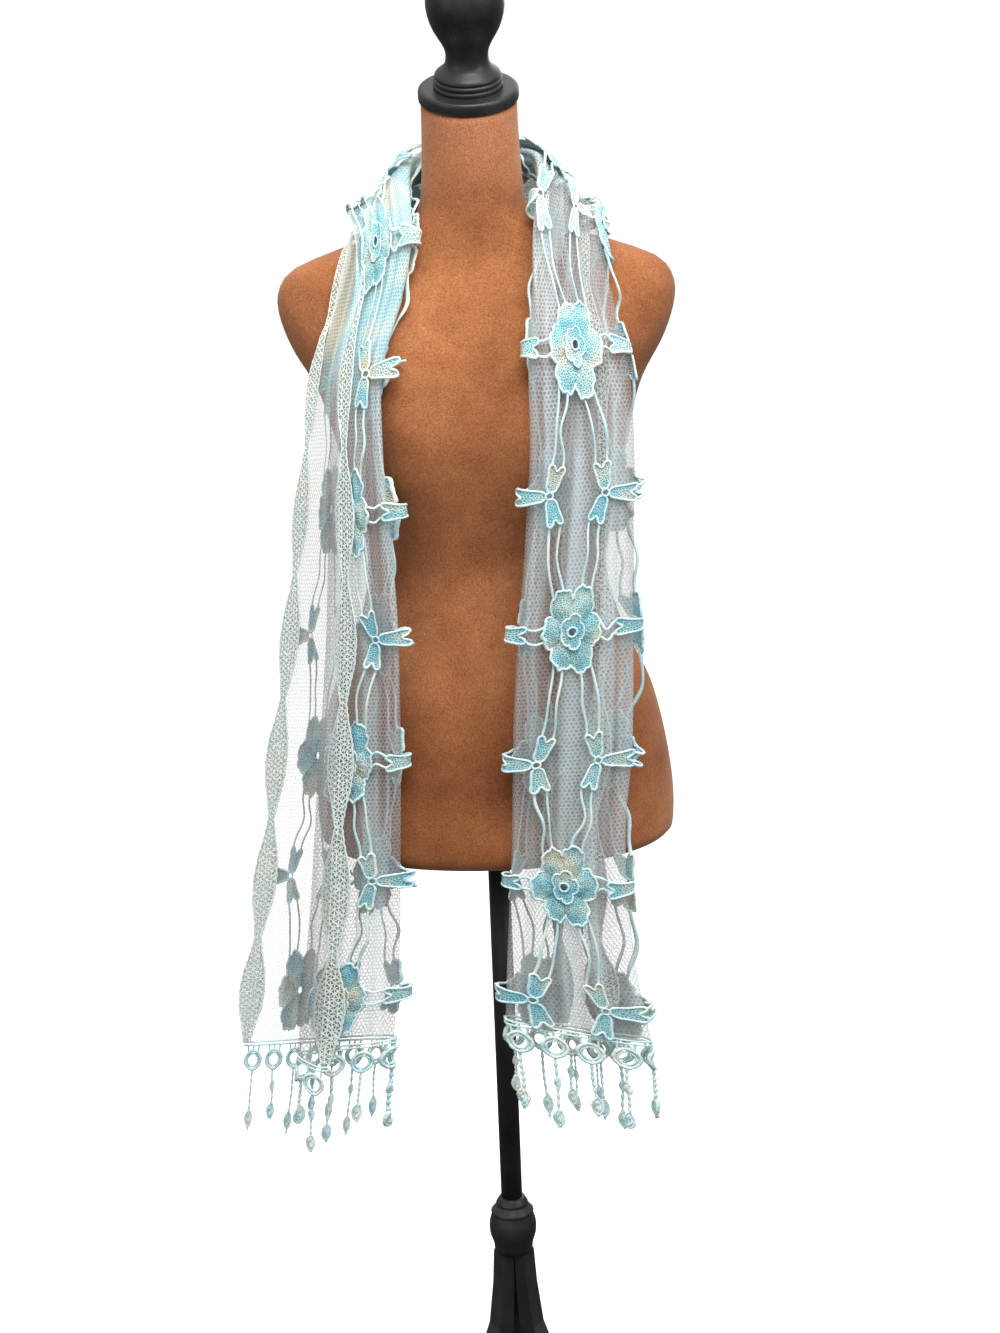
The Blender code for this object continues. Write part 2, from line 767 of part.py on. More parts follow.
def add_flower(plate, centre):
    """Six petals round a domed middle. Returns each petal's points, by its angle."""
    outline = []
    ports = {}
    for angle, _ in PETALS:
        notch = plate.point(*flower_point(centre, angle - 30, NOTCH_REACH))
        tips = [plate.point(*place) for place in petal_places(centre, angle)]
        outline += [notch, *tips]
        ports[angle] = tips
    curved = BAND.at[6] < centre[1] < BAND.at[22]
    plate.fan(plate.point(*centre, CURVED_DOME if curved else FLOWER_DOME), outline)
    return ports


def arm_places(centre, angle, length):
    """The tip of one arm. An upright arm is forked, with a narrow edge at each side."""
    turn = math.radians(angle)
    along = Vector((math.cos(turn), math.sin(turn)))
    across = Vector((-along.y, along.x))
    tip = Vector(centre) + along * length
    if angle in (0, 180):
        return [tip - across * ARM_HALF * 0.8, tip + across * ARM_HALF * 0.8]
    inner = across * (ARM_HALF - FORK_WIDTH)
    return [tip - across * ARM_HALF, tip - inner, tip + inner, tip + across * ARM_HALF]


def add_connector(plate, centre, side, level_arm):
    """A three-armed connector. side is the way its level arm points, 1 or -1 along u."""
    outline = []
    ports = {}
    arms = (0, 105, 255) if side > 0 else (180, 285, 75)
    for angle in arms:
        crotch_turn = math.radians(angle - 55)
        crotch = Vector(centre) + 0.0058 * Vector((math.cos(crotch_turn), math.sin(crotch_turn)))
        outline.append(plate.point(*crotch))
        length = level_arm if angle in (0, 180) else ARM_LENGTH
        points = [plate.point(*end) for end in arm_places(centre, angle, length)]
        outline += points
        ports[ARM_NAMES[angle]] = points
    plate.face(outline)
    return ports


def add_strip(plate, start, end, sections, limit=None):
    """A ribbon of faces from the edge start to the edge end through pairs of (u, v) points."""
    last = start
    for pair in sections:
        if limit is not None and any(p[1] < limit[0] or p[1] > limit[1] for p in pair):
            cut = limit[0] if pair[0][1] < limit[0] else limit[1]
            ends = []
            for p, q in zip(last, pair):
                share = (cut - p.co.y) / (q[1] - p.co.y)
                ends.append(plate.point(p.co.x + (q[0] - p.co.x) * share, cut))
            plate.face((last[0], last[1], ends[1], ends[0]))
            return
        points = [plate.point(*p) for p in pair]
        plate.face((last[0], last[1], points[1], points[0]))
        last = points
    if end is not None:
        plate.face((last[0], last[1], end[1], end[0]))


def middle_of(points):
    return Vector((sum(p[0] for p in points) / len(points), sum(p[1] for p in points) / len(points)))


def port_places(port):
    return [tuple(p.co.xy) for p in port]


class Motif:
    """One flower or connector of the flat lace, with the points where cords join it."""

    def __init__(self, kind, centre, side=0, level_arm=ARM_LENGTH):
        self.kind, self.centre, self.side, self.level_arm = kind, centre, side, level_arm
        self.ports = None


def row_places():
    """v of each row of the lace, alternating side flowers and middle flowers."""
    left = [FIRST_ROW_LEFT + ROW_PITCH_LEFT * i for i in range(ROWS_LEFT)]
    right = [BAND.length - FIRST_ROW_RIGHT - ROW_PITCH_RIGHT * i for i in range(ROWS_RIGHT)][::-1]
    gap = (right[0] - left[-1]) / (ROWS_BETWEEN + 1)
    return left + [left[-1] + gap * (i + 1) for i in range(ROWS_BETWEEN)] + right


def lay_out_lace():
    """The motifs of every row. Even rows carry the side flowers, odd rows the middle one."""
    middle = CUT_WIDTH / 2
    rows = []
    for number, v in enumerate(row_places()):
        row = {}
        if number % 2 == 0:
            row["flower_a"] = Motif("flower", (middle - FLOWER_COLUMN, v))
            row["flower_b"] = Motif("flower", (middle + FLOWER_COLUMN, v))
            row["link_1"] = Motif("connector", (middle - CONNECTOR_OFFSET, v), -1)
            row["link_2"] = Motif("connector", (middle + CONNECTOR_OFFSET, v), 1)
        else:
            row["flower_m"] = Motif("flower", (middle, v))
            edge_a = middle - FLOWER_COLUMN - OUTER_OFFSET
            edge_b = middle + FLOWER_COLUMN + OUTER_OFFSET
            row["link_a_out"] = Motif("connector", (edge_a, v), -1, OUTER_ARM)
            row["link_a_in"] = Motif("connector", (middle - FLOWER_COLUMN + CONNECTOR_OFFSET, v), 1)
            row["link_b_in"] = Motif("connector", (middle + FLOWER_COLUMN - CONNECTOR_OFFSET, v), -1)
            row["link_b_out"] = Motif("connector", (edge_b, v), 1, OUTER_ARM)
        rows.append(row)
    return rows


# Upright links: a connector in one row, the flower that it joins in the next, and the petal
UPRIGHT = {
    "link_1": ("flower_m", 240, 120),
    "link_2": ("flower_m", 300, 60),
    "link_a_out": ("flower_a", 240, 120),
    "link_a_in": ("flower_a", 300, 60),
    "link_b_in": ("flower_b", 240, 120),
    "link_b_out": ("flower_b", 300, 60),
}
# Level links: a connector, the flower beside it, and the petal
LEVEL = {
    "link_1": ("flower_a", 0),
    "link_2": ("flower_b", 180),
    "link_a_in": ("flower_m", 180),
    "link_b_in": ("flower_m", 0),
}


def join_upright(plate, connector, flower, petal, way, limit):
    """The double cord between a connector's arm and a petal, or its near half past the limit."""
    tips = flower.ports[petal] if flower.ports else None
    arm = connector.ports[way] if connector.ports else None
    angle = {"up": 90 + 15 * connector.side, "down": 270 - 15 * connector.side}[way]
    tips_at = petal_places(flower.centre, petal)
    arm_at = [tuple(place) for place in arm_places(connector.centre, angle, ARM_LENGTH)]
    for k in range(2):
        arm_edge = (0, 1) if k == 0 else (2, 3)
        tip_edge = (3, 2) if k == 0 else (1, 0)
        start = middle_of([arm_at[i] for i in arm_edge])
        end = middle_of([tips_at[i] for i in tip_edge])
        run = end - start
        side = Vector((-run.y, run.x)).normalized()
        arm_pair = side_first([arm[i] for i in arm_edge], side) if arm else None
        tip_pair = side_first([tips[i] for i in tip_edge], side) if tips else None
        if arm_pair and tip_pair:
            add_strip(plate, arm_pair, tip_pair, (), None)
        elif arm_pair:
            add_strip(plate, arm_pair, None, [cord_pair(end, side)], limit)
        elif tip_pair:
            add_strip(plate, tip_pair, None, [cord_pair(start, side)], limit)


def side_first(pair, side):
    """The same two points, the one further over to the given side first."""
    return sorted(pair, key=lambda p: -p.co.xy.dot(side))


def cord_pair(place, side):
    return tuple(place + side * CORD_HALF), tuple(place - side * CORD_HALF)


def level_tip(plate, edge, reach_u):
    """A short band from an edge to the edging, where it ends in the air beside the scallop."""
    middle = middle_of(port_places(edge))
    ups = sorted(edge, key=lambda p: p.co.y)
    plate.face(
        (
            ups[0],
            ups[1],
            plate.point(reach_u, middle.y + SIDE_TIP_HALF),
            plate.point(reach_u, middle.y - SIDE_TIP_HALF),
        )
    )


def lace_stations():
    """Lines of v over the shoulders and round the neck, where the lace bends with the net."""
    lines = []
    for v in row_places():
        lines += [v - PAST_PETALS, v + PAST_PETALS]
    return [v for v in lines if BAND.at[6] < v < BAND.at[22]]


def make_lace(name, rows, limit, bends, last_crease, material, collection):
    """The lace of one stretch, as one piece: every motif between the limits, and its cords."""
    plate = FlatPlate()
    for row in rows:
        for motif in row.values():
            inside = limit[0] + 0.002 < motif.centre[1] < limit[1] - 0.002
            if not inside:
                motif.ports = None
            elif motif.kind == "flower":
                motif.ports = add_flower(plate, motif.centre)
            else:
                motif.ports = add_connector(plate, motif.centre, motif.side, motif.level_arm)
    edging_a = LOZENGE[2][1] - EDGING_CENTRE + 0.0005
    edging_b = CUT_WIDTH - edging_a
    for number, row in enumerate(rows):
        for key, motif in row.items():
            if key in UPRIGHT:
                flower_key, petal_above, petal_below = UPRIGHT[key]
                if number + 1 < len(rows):
                    flower = rows[number + 1][flower_key]
                    join_upright(plate, motif, flower, petal_above, "up", limit)
                if number > 0:
                    flower = rows[number - 1][flower_key]
                    join_upright(plate, motif, flower, petal_below, "down", limit)
            if motif.ports is None:
                continue
            if key in LEVEL:
                flower_key, petal = LEVEL[key]
                tips = row[flower_key].ports[petal]
                arm = motif.ports["level"]
                plate.face((arm[0], arm[1], tips[0], tips[1]))
            elif key in ("link_a_out", "link_b_out"):
                level_tip(plate, motif.ports["level"], edging_a if motif.side < 0 else edging_b)
            elif key == "flower_a":
                level_tip(plate, motif.ports[180], edging_a)
            elif key == "flower_b":
                level_tip(plate, motif.ports[0], edging_b)
    bmesh.ops.remove_doubles(plate.bm, verts=plate.bm.verts, dist=0.00001)
    stations = [v for v in lace_stations() if limit[0] < v < limit[1]]
    plate.bend_along(bends, stations, last_crease)
    plate.wear(name, LACE_LOW, LACE_THICK, material, collection)


# The scalloped edging along both long edges


def make_edging(name, edge, start, end, rows_at, material, collection):
    """A chain of lozenges, one beside each row of the lace."""
    outward = -1 if edge == 0 else 1
    centre = (0.0 if edge == 0 else CUT_WIDTH) + outward * EDGING_CENTRE
    necks = [start] + [(a + b) / 2 for a, b in zip(rows_at, rows_at[1:]) if start < (a + b) / 2 < end] + [end]
    plate = FlatPlate()
    last = None
    for a, b in zip(necks, necks[1:]):
        for share, half in LOZENGE:
            v = a + (b - a) * share
            pair = (plate.point(centre - half, v), plate.point(centre + half, v))
            if last:
                plate.face((last[0], last[1], pair[1], pair[0]))
            last = pair
    half = LOZENGE[0][1]
    pair = (plate.point(centre - half, end), plate.point(centre + half, end))
    plate.face((last[0], last[1], pair[1], pair[0]))
    if edge == 1:
        turning = (BAND.at[NAPE], BAND.at[17] + 0.02)
        plate.bend_along((), [v for v in net_stations(start, end) if turning[0] < v < turning[1]])
    plate.wear(name, EDGING_LOW, EDGING_THICK, material, collection, EDGING_LIFTS[edge])


# The trim at each hem: a header, a row of rings and a strand below each

RING_COUNT = 12
RING_REACH = 0.0105
HOLE_REACH = 0.0052
HEM_GAP = 0.0004
HEADER_DEPTH = 0.0045
BAR_DEPTH = 0.0050
# Strand lengths, repeated along the hem
STRAND_LENGTHS = (0.066, 0.054, 0.072, 0.048, 0.061, 0.076, 0.057)


def make_trim(name, hem, direction, material, collection):
    """hem is the v of the net's edge, and direction is the way down along v, -1 or 1."""
    plate = FlatPlate()
    first = -0.010
    pitch = (CUT_WIDTH + 0.020) / RING_COUNT
    flat = RING_REACH * math.tan(math.radians(22.5)) * 0.92
    half_pitch = pitch / 2

    def down(depth):
        return hem + direction * depth

    top_left = plate.point(first, down(HEM_GAP))
    low_left = plate.point(first, down(HEADER_DEPTH))
    side_high = plate.point(first, down(HEADER_DEPTH + BAR_DEPTH + RING_REACH - flat))
    side_low = plate.point(first, down(HEADER_DEPTH + BAR_DEPTH + RING_REACH + flat))
    for number in range(RING_COUNT):
        middle = first + pitch * (number + 0.5)
        top = HEADER_DEPTH + BAR_DEPTH
        centre = top + RING_REACH
        lows = [plate.point(middle + s * flat, down(HEADER_DEPTH)) for s in (-1, 1)]
        top_right = plate.point(middle + half_pitch, down(HEM_GAP))
        low_right = plate.point(middle + half_pitch, down(HEADER_DEPTH))
        plate.face((top_left, top_right, low_right, lows[1], lows[0], low_left))
        ring_top = [plate.point(middle + s * flat, down(top)) for s in (-1, 1)]
        plate.face((lows[0], lows[1], ring_top[1], ring_top[0]))
        right_high = plate.point(middle + half_pitch, down(centre - flat))
        right_low = plate.point(middle + half_pitch, down(centre + flat))
        ring_low = [plate.point(middle + s * flat, down(centre + RING_REACH)) for s in (1, -1)]
        ring = [ring_top[0], ring_top[1], right_high, right_low, ring_low[0], ring_low[1], side_low, side_high]
        hole = [
            plate.point(middle, down(centre - HOLE_REACH)),
            plate.point(middle + HOLE_REACH, down(centre)),
            plate.point(middle, down(centre + HOLE_REACH)),
            plate.point(middle - HOLE_REACH, down(centre)),
        ]
        for k in range(4):
            a, b, c = ring[2 * k], ring[2 * k + 1], ring[(2 * k + 2) % 8]
            plate.face((a, b, hole[k]))
            plate.face((b, c, hole[(k + 1) % 4], hole[k]))
        foot = centre + RING_REACH
        length = STRAND_LENGTHS[number % len(STRAND_LENGTHS)]
        sway = 0.0022 * math.sin(2.4 * number)
        last = [ring_low[1], ring_low[0]]
        for share, half in ((0.72, 0.0013), (1.0, 0.0025)):
            depth = foot + length * share
            pair = [plate.point(middle + sway * share + s * half, down(depth)) for s in (-1, 1)]
            plate.face((last[0], last[1], pair[1], pair[0]))
            last = pair
        top_left, low_left, side_high, side_low = top_right, low_right, right_high, right_low
    bmesh.ops.remove_doubles(plate.bm, verts=plate.bm.verts, dist=0.00001)
    plate.bend_along(TRIM_BENDS, ())
    plate.wear(name, -TRIM_HALF, 2 * TRIM_HALF, material, collection)


# The whole object


def main():
    clear_scene()
    collection = bpy.data.collections.new("lace_shawl_on_dress_form")
    bpy.context.scene.collection.children.link(collection)
    suede = finish_colour("suede", SUEDE, 0.9)
    black = finish_colour("black_wood", BLACK, 0.35)
    metal = finish_colour("black_metal", BLACK, 0.45)
    net = finish_colour("net", NET_WHITE, 0.8)
    aqua = finish_colour("lace_thread", AQUA, 0.75)

    make_torso(suede, collection)
    make_neck_parts(black, collection)
    make_stand(black, metal, collection)

    first, second = BAND.ends
    length = BAND.length
    half_seam = SEAM / 2
    make_net("net_left", 0.0, first - half_seam, GRID_PARTS_LEFT, net, collection)
    make_net("net_neck", first + half_seam, second - half_seam, GRID_PARTS_NECK, net, collection)
    make_net("net_right", second + half_seam, length, GRID_PARTS_RIGHT, net, collection)

    rows = lay_out_lace()
    stretches = (
        ("left", (0.001, first - half_seam), BENDS, FLAP_CREASE),
        ("neck", (first + half_seam, second - half_seam), NECK_BENDS, None),
        ("right", (second + half_seam, length - 0.001), BENDS, None),
    )
    for place, limit, bends, last_crease in stretches:
        make_lace(f"lace_{place}", rows, limit, bends, last_crease, aqua, collection)
        for edge, letter in ((0, "a"), (1, "b")):
            make_edging(f"edging_{letter}_{place}", edge, *limit, row_places(), aqua, collection)

    make_trim("trim_left", 0.0, -1, aqua, collection)
    make_trim("trim_right", length, 1, aqua, collection)


main()
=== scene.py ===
# %% [markdown]
# # A lace shawl on a dress form
#
# The subject is a long sheer net scarf with guipure lace on its right side: flowers, three-armed
# connectors, loose double cords, a chain of mesh lozenges down each long edge, and rings with
# strands at both hems. It hangs round the neck of a suede dress form on a black stand.
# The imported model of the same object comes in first, and every piece is fitted to it.

# %% The tools and the frame
import math
import random

import bmesh
import bpy
import numpy as np
from mathutils import Matrix, Vector


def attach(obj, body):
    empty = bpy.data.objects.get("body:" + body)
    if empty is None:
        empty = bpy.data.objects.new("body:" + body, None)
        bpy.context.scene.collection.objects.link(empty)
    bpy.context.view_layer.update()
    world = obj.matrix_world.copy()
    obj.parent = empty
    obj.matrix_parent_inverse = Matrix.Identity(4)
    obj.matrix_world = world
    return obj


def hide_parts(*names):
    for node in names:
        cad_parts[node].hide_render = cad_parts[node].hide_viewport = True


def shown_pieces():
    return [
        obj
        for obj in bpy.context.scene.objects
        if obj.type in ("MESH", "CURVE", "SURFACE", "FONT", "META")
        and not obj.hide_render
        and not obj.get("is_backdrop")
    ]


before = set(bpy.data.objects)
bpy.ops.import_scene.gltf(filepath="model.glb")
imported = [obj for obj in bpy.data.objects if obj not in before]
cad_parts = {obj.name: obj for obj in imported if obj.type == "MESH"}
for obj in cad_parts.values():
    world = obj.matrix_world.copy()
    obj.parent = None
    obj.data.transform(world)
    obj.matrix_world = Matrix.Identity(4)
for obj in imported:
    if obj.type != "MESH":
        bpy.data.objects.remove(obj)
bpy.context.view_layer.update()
DICE = random.Random(11)
MM = 0.001
print("frame nodes:", sorted(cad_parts))


def new_object(name, data):
    made = bpy.data.objects.new(name, data)
    bpy.context.scene.collection.objects.link(made)
    return made


# %% [markdown]
# ## The camera
#
# The photograph looks slightly down on the shawl from about two and a half metres away. The
# camera stands where the neck cap's ellipse and the lean of the pole put it.

# %% Camera
POLE = Vector((0.0272, -0.0435, 0))
DISTANCE = 2.5
EYE_HEIGHT = 1.637
EYE_SHIFT = 0.0089
FILM = 36
FOCAL_LENGTH = 71.05
LOOK_DOWN = math.radians(15.8)
ROLL = math.radians(-2.2)


def make_camera():
    lens = bpy.data.cameras.new("camera")
    lens.sensor_fit = "VERTICAL"
    lens.sensor_width = FILM
    lens.sensor_height = FILM
    lens.lens = FOCAL_LENGTH
    lens.clip_end = 200
    camera = new_object("camera", lens)
    place = Matrix.Translation(POLE + Vector((EYE_SHIFT, -DISTANCE, EYE_HEIGHT)))
    turn = Matrix.Rotation(math.pi / 2 - LOOK_DOWN, 4, "X") @ Matrix.Rotation(ROLL, 4, "Z")
    camera.matrix_world = place @ turn
    bpy.context.scene.camera = camera
    return camera


camera = make_camera()
print("camera at", [round(c, 3) for c in camera.location])

# %% [markdown]
# ## From the flat cut to the worn cloth
#
# The shawl is drawn flat, as it is cut: u runs across the cut from edge A to edge B, v runs
# along it from the left hem, round the nape, to the right hem, and w stands out from its right
# side. Two borders say where the folded bundle runs over the form, and a list of creases says
# how the width is folded between them. A cloth simulation would slide off this pose, so the
# folds are laid one by one, as one lays a scarf, and each flat point is then carried to its place.

# %% Where the bundle rests: its outer border, then the border nearer the neck
CUT_WIDTH = 0.300
BAND_ROWS = (
    ((-0.258, -0.090, 0.585), (-0.107, -0.104, 0.585)),
    ((-0.242, -0.090, 0.680), (-0.097, -0.104, 0.680)),
    ((-0.224, -0.090, 0.780), (-0.092, -0.104, 0.780)),
    ((-0.209, -0.090, 0.880), (-0.0875, -0.104, 0.880)),
    ((-0.192, -0.090, 0.980), (-0.084, -0.104, 0.980)),
    ((-0.177, -0.089, 1.080), (-0.0855, -0.103, 1.080)),
    ((-0.164, -0.084, 1.165), (-0.089, -0.098, 1.170)),
    ((-0.153, -0.072, 1.230), (-0.0855, -0.0885, 1.242)),
    ((-0.138, -0.056, 1.286), (-0.066, -0.068, 1.304)),
    ((-0.123, -0.036, 1.339), (-0.054, -0.050, 1.357)),
    ((-0.118, -0.008, 1.352), (-0.0535, -0.021, 1.388)),
    ((-0.114, 0.020, 1.353), (-0.0525, 0.006, 1.406)),
    ((-0.098, 0.053, 1.3434), (-0.047, 0.032, 1.420)),
    ((-0.058, 0.083, 1.3286), (-0.028, 0.050, 1.426)),
    ((0.000, 0.093, 1.325), (0.000, 0.056, 1.428)),
    ((0.058, 0.083, 1.330), (0.028, 0.050, 1.426)),
    ((0.096, 0.053, 1.345), (0.047, 0.032, 1.420)),
    ((0.110, 0.020, 1.353), (0.0525, 0.006, 1.406)),
    ((0.112, -0.008, 1.352), (0.0535, -0.021, 1.388)),
    ((0.114, -0.037, 1.340), (0.051, -0.052, 1.354)),
    ((0.124, -0.062, 1.288), (0.047, -0.077, 1.298)),
    ((0.136, -0.086, 1.230), (0.042, -0.102, 1.234)),
    ((0.139, -0.094, 1.165), (0.041, -0.111, 1.165)),
    ((0.136, -0.101, 1.080), (0.034, -0.116, 1.080)),
    ((0.134, -0.104, 0.980), (0.023, -0.1185, 0.980)),
    ((0.130, -0.104, 0.880), (0.016, -0.1190, 0.880)),
    ((0.121, -0.104, 0.780), (0.011, -0.1190, 0.780)),
    ((0.127, -0.104, 0.680), (0.005, -0.1190, 0.680)),
    ((0.142, -0.104, 0.588), (-0.001, -0.1190, 0.588)),
)
SHOULDER_LEFT, NAPE, SHOULDER_RIGHT = 8, 14, 20

# %% How the width is folded: (u in mm, share of the bundle's width, height in mm) of each crease
# The six columns are the left hem with its flap standing, the left chest, the left shoulder, the
# nape, the side of the neck on the right, and the right front.
FOLDS = (
    ((0, 0.05, 4.0), (0, 0.06, 4.0), (0, 0.08, 4.0),
     (0, 0.15, 5.5), (0, 0.26, 11.5), (0, 0.34, 12.0)),
    ((62, 0.37, 3.5), (62, 0.37, 3.5), (62, 0.38, 3.5),
     (50, 0.42, 3.2), (42, 0.51, 9.5), (34, 0.60, 10.5)),
    ((126, 0.68, 3.5), (126, 0.68, 3.5), (124, 0.69, 3.5),
     (98, 0.76, 3.2), (79, 0.77, 7.5), (60, 0.79, 9.2)),
    ((165, 0.89, 4.0), (165, 0.89, 4.0), (163, 0.88, 4.0),
     (122, 0.90, 4.0), (100, 0.91, 7.2), (79, 0.92, 9.2)),
    ((181, 0.97, 6.2), (181, 0.97, 6.2), (179, 0.96, 6.2),
     (131, 0.97, 6.3), (110, 0.975, 9.0), (89, 0.98, 11.0)),
    ((187, 1.00, 10.5), (187, 1.00, 10.5), (185, 1.00, 10.5),
     (137, 1.00, 9.8), (116, 1.00, 13.0), (95, 1.00, 15.5)),
    ((193, 0.97, 14.8), (193, 0.97, 14.8), (191, 0.96, 14.8),
     (143, 0.97, 13.2), (122, 0.975, 17.0), (101, 0.98, 20.0)),
    ((204, 0.89, 16.5), (204, 0.88, 16.5), (203, 0.86, 16.5),
     (156, 0.88, 15.2), (135, 0.885, 19.0), (113, 0.89, 22.0)),
    ((228, 0.72, 16.5), (230, 0.68, 16.5), (232, 0.64, 16.5),
     (190, 0.60, 15.5), (170, 0.58, 19.0), (150, 0.56, 22.0)),
    ((252, 0.55, 16.8), (257, 0.48, 16.8), (262, 0.42, 16.6),
     (226, 0.32, 14.0), (215, 0.22, 18.4), (190, 0.19, 21.5)),
    ((270, 0.40, 18.2), (278, 0.33, 18.4), (282, 0.25, 16.4),
     (262, 0.02, 8.0), (255, 0.05, 16.8), (205, 0.05, 18.5)),
    ((276, 0.37, 23.0), (283, 0.29, 20.4), (286, 0.21, 16.2),
     (270, -0.04, 6.0), (268, 0.00, 13.4), (214, 0.00, 11.8)),
    ((282, 0.40, 27.8), (287, 0.27, 20.8), (290, 0.17, 16.0),
     (280, -0.11, 4.2), (280, 0.01, 10.4), (225, 0.05, 4.8)),
    ((289, 0.44, 29.5), (292, 0.25, 22.2), (294, 0.12, 15.7),
     (290, -0.18, 3.0), (290, 0.03, 7.8), (250, 0.27, 3.0)),
    ((300, 0.51, 30.0), (300, 0.22, 24.6), (300, 0.05, 15.2),
     (300, -0.27, 3.0), (300, 0.08, 6.6), (300, 0.55, 3.0)),
)
INNER_FOLD, OUTER_FOLD = 5, 11
# First u, last u, number of waves, depth and drift of the soft pleats in front
PLEATS_LEFT = (0.204, 0.266, 2.0, 0.0008, 1.1)
PLEATS_RIGHT = (0.113, 0.190, 2.0, 0.0009, 0.8)
# Number of the crease, and how far the hem hangs below its line there
HEM_DROP_LEFT = ((0, 0.004), (5, -0.004), (11, 0.009), (14, 0.020))
HEM_DROP_RIGHT = ((0, -0.002), (5, -0.027), (11, 0.014), (14, -0.006))
HEM_REACH = 0.30


# %% Smooth curves through the rows of those tables
def curve_slopes(places, values):
    slopes = np.empty_like(values)
    slopes[..., 1:-1] = (values[..., 2:] - values[..., :-2]) / (places[..., 2:] - places[..., :-2])
    slopes[..., 0] = (values[..., 1] - values[..., 0]) / (places[..., 1] - places[..., 0])
    slopes[..., -1] = (values[..., -1] - values[..., -2]) / (places[..., -1] - places[..., -2])
    return slopes


def around(places, at):
    """Where the places just before and just after each place of at stand in its row of places."""
    left = np.clip((at[:, None] > places[:, 1:-1]).sum(axis=1), 0, places.shape[1] - 2)
    row = np.arange(len(at))
    return (row, left), (row, left + 1)


def read_curves(places, values, at):
    """Each row of places and values is one curve, read at one place of at."""
    slopes = curve_slopes(places, values)
    low, high = around(places, at)
    x0, x1 = places[low], places[high]
    y0, y1 = values[low], values[high]
    start, end = slopes[low], slopes[high]
    span = x1 - x0
    t = (at - x0) / span
    inside = (
        y0 * (1 + 2 * t) * (1 - t) ** 2
        + start * span * t * (1 - t) ** 2
        + y1 * t * t * (3 - 2 * t)
        - end * span * t * t * (1 - t)
    )
    before = y0 + start * (at - x0)
    after = y1 + end * (at - x1)
    return np.where(t < 0, before, np.where(t > 1, after, inside))


# %% The bundle's path, and its frame at any length along it
BORDERS = np.array(BAND_ROWS)
MIDDLES = BORDERS.mean(axis=1)
AT = np.concatenate(([0.0], np.cumsum(np.linalg.norm(np.diff(MIDDLES, axis=0), axis=1))))
LENGTH = AT[-1]
SHOULDERS = (AT[SHOULDER_LEFT], AT[SHOULDER_RIGHT])
print("cut:", CUT_WIDTH, "x", round(LENGTH, 4))


def border(side, v):
    places = np.broadcast_to(AT, (len(v), len(AT)))
    columns = [np.broadcast_to(BORDERS[:, side, axis], places.shape) for axis in range(3)]
    return np.stack([read_curves(places, column, v) for column in columns], axis=1)


def unit(rows):
    return rows / np.linalg.norm(rows, axis=1, keepdims=True)


def band_frame(v):
    """The outer border, the way across, the width and the way out of the cloth at each v."""
    held = np.clip(v, 0, LENGTH)
    outer, inner = border(0, held), border(1, held)
    step = 0.004
    ahead = border(0, held + step) + border(1, held + step)
    behind = border(0, held - step) + border(1, held - step)
    along = unit(ahead - behind)
    across = inner - outer
    width = np.linalg.norm(across, axis=1)
    out = unit(np.cross(across, along))
    return outer + along * (v - held)[:, None], unit(across), width, out


# Where along the cut each column of FOLDS holds
FOLD_PLACES = (0.0, AT[8], AT[10], AT[12], AT[NAPE], AT[17], AT[SHOULDER_RIGHT] + 0.02, LENGTH)
FOLD_COLUMNS = (0, 0, 1, 2, 3, 4, 5, 5)


def crease_rows(v):
    """u, share of the width and height of every crease at each v, in metres."""
    stage = np.interp(v, FOLD_PLACES, FOLD_COLUMNS)
    first = np.minimum(stage.astype(int), 4)
    part = stage - first
    part = (part * part * (3 - 2 * part))[:, None, None]
    table = np.array(FOLDS).transpose(1, 0, 2)
    rows = table[first] + (table[first + 1] - table[first]) * part
    return rows[:, :, 0] * MM, rows[:, :, 1], rows[:, :, 2] * MM


# %% [markdown]
# Besides the main folds the net shows soft pleats and a fine crumple, and its hems hang unevenly.
# They are added as small heights in the folded section, so that the net and the lace on it
# move together.

# %% Pleats, crumple and uneven hems
def both_sides(v, left, right):
    """For either side of the nape: its settings, where v lies on it, and how far v is from its hem."""
    on_left = v < LENGTH / 2
    return (left, on_left, v), (right, ~on_left, LENGTH - v)


def soft_pleats(u, v):
    height = np.zeros_like(u)
    for pleats, here, run in both_sides(v, PLEATS_LEFT, PLEATS_RIGHT):
        first, last, waves, depth, drift = pleats
        share = np.clip((u - first) / (last - first), 0, 1)
        fade = np.clip((SHOULDERS[0] - run) / 0.15, 0, 1) * np.sqrt(np.sin(np.pi * share).clip(0))
        wave = depth * fade * np.sin(2 * np.pi * (waves * share + drift * run))
        height += np.where(here & (u > first) & (u < last), wave, 0)
    return height


def crumple(u, v):
    """Shallow uneven waves all over, and deeper gathers where the net is bunched at the neck."""
    slow = np.sin(2 * np.pi * (u / 0.021 + 1.7 * v)) * np.sin(2 * np.pi * (v / 0.31 + 2 * u))
    fine = np.sin(2 * np.pi * (u / 0.0125 - 2.3 * v + 0.6)) * np.sin(2 * np.pi * v / 0.117)
    bunched = np.sin(2 * np.pi * (u / 0.016 + 0.8 * v + 0.2 * np.sin(9 * v)))
    near_neck = np.interp(v, (AT[6], AT[9], AT[19], AT[22]), (0, 1, 1, 0))
    return 0.00045 * slow + 0.00025 * fine + 0.0008 * near_neck * bunched


# Places along the cut, and how far the lace stands out there past each border fold
INNER_REACH = ((0, AT[4], AT[7], AT[9], AT[21], AT[23]), (0.010, 0.012, 0.015, 0.006, 0.004, 0.008))
OUTER_REACH = ((AT[21], AT[24]), (0, 0.006))


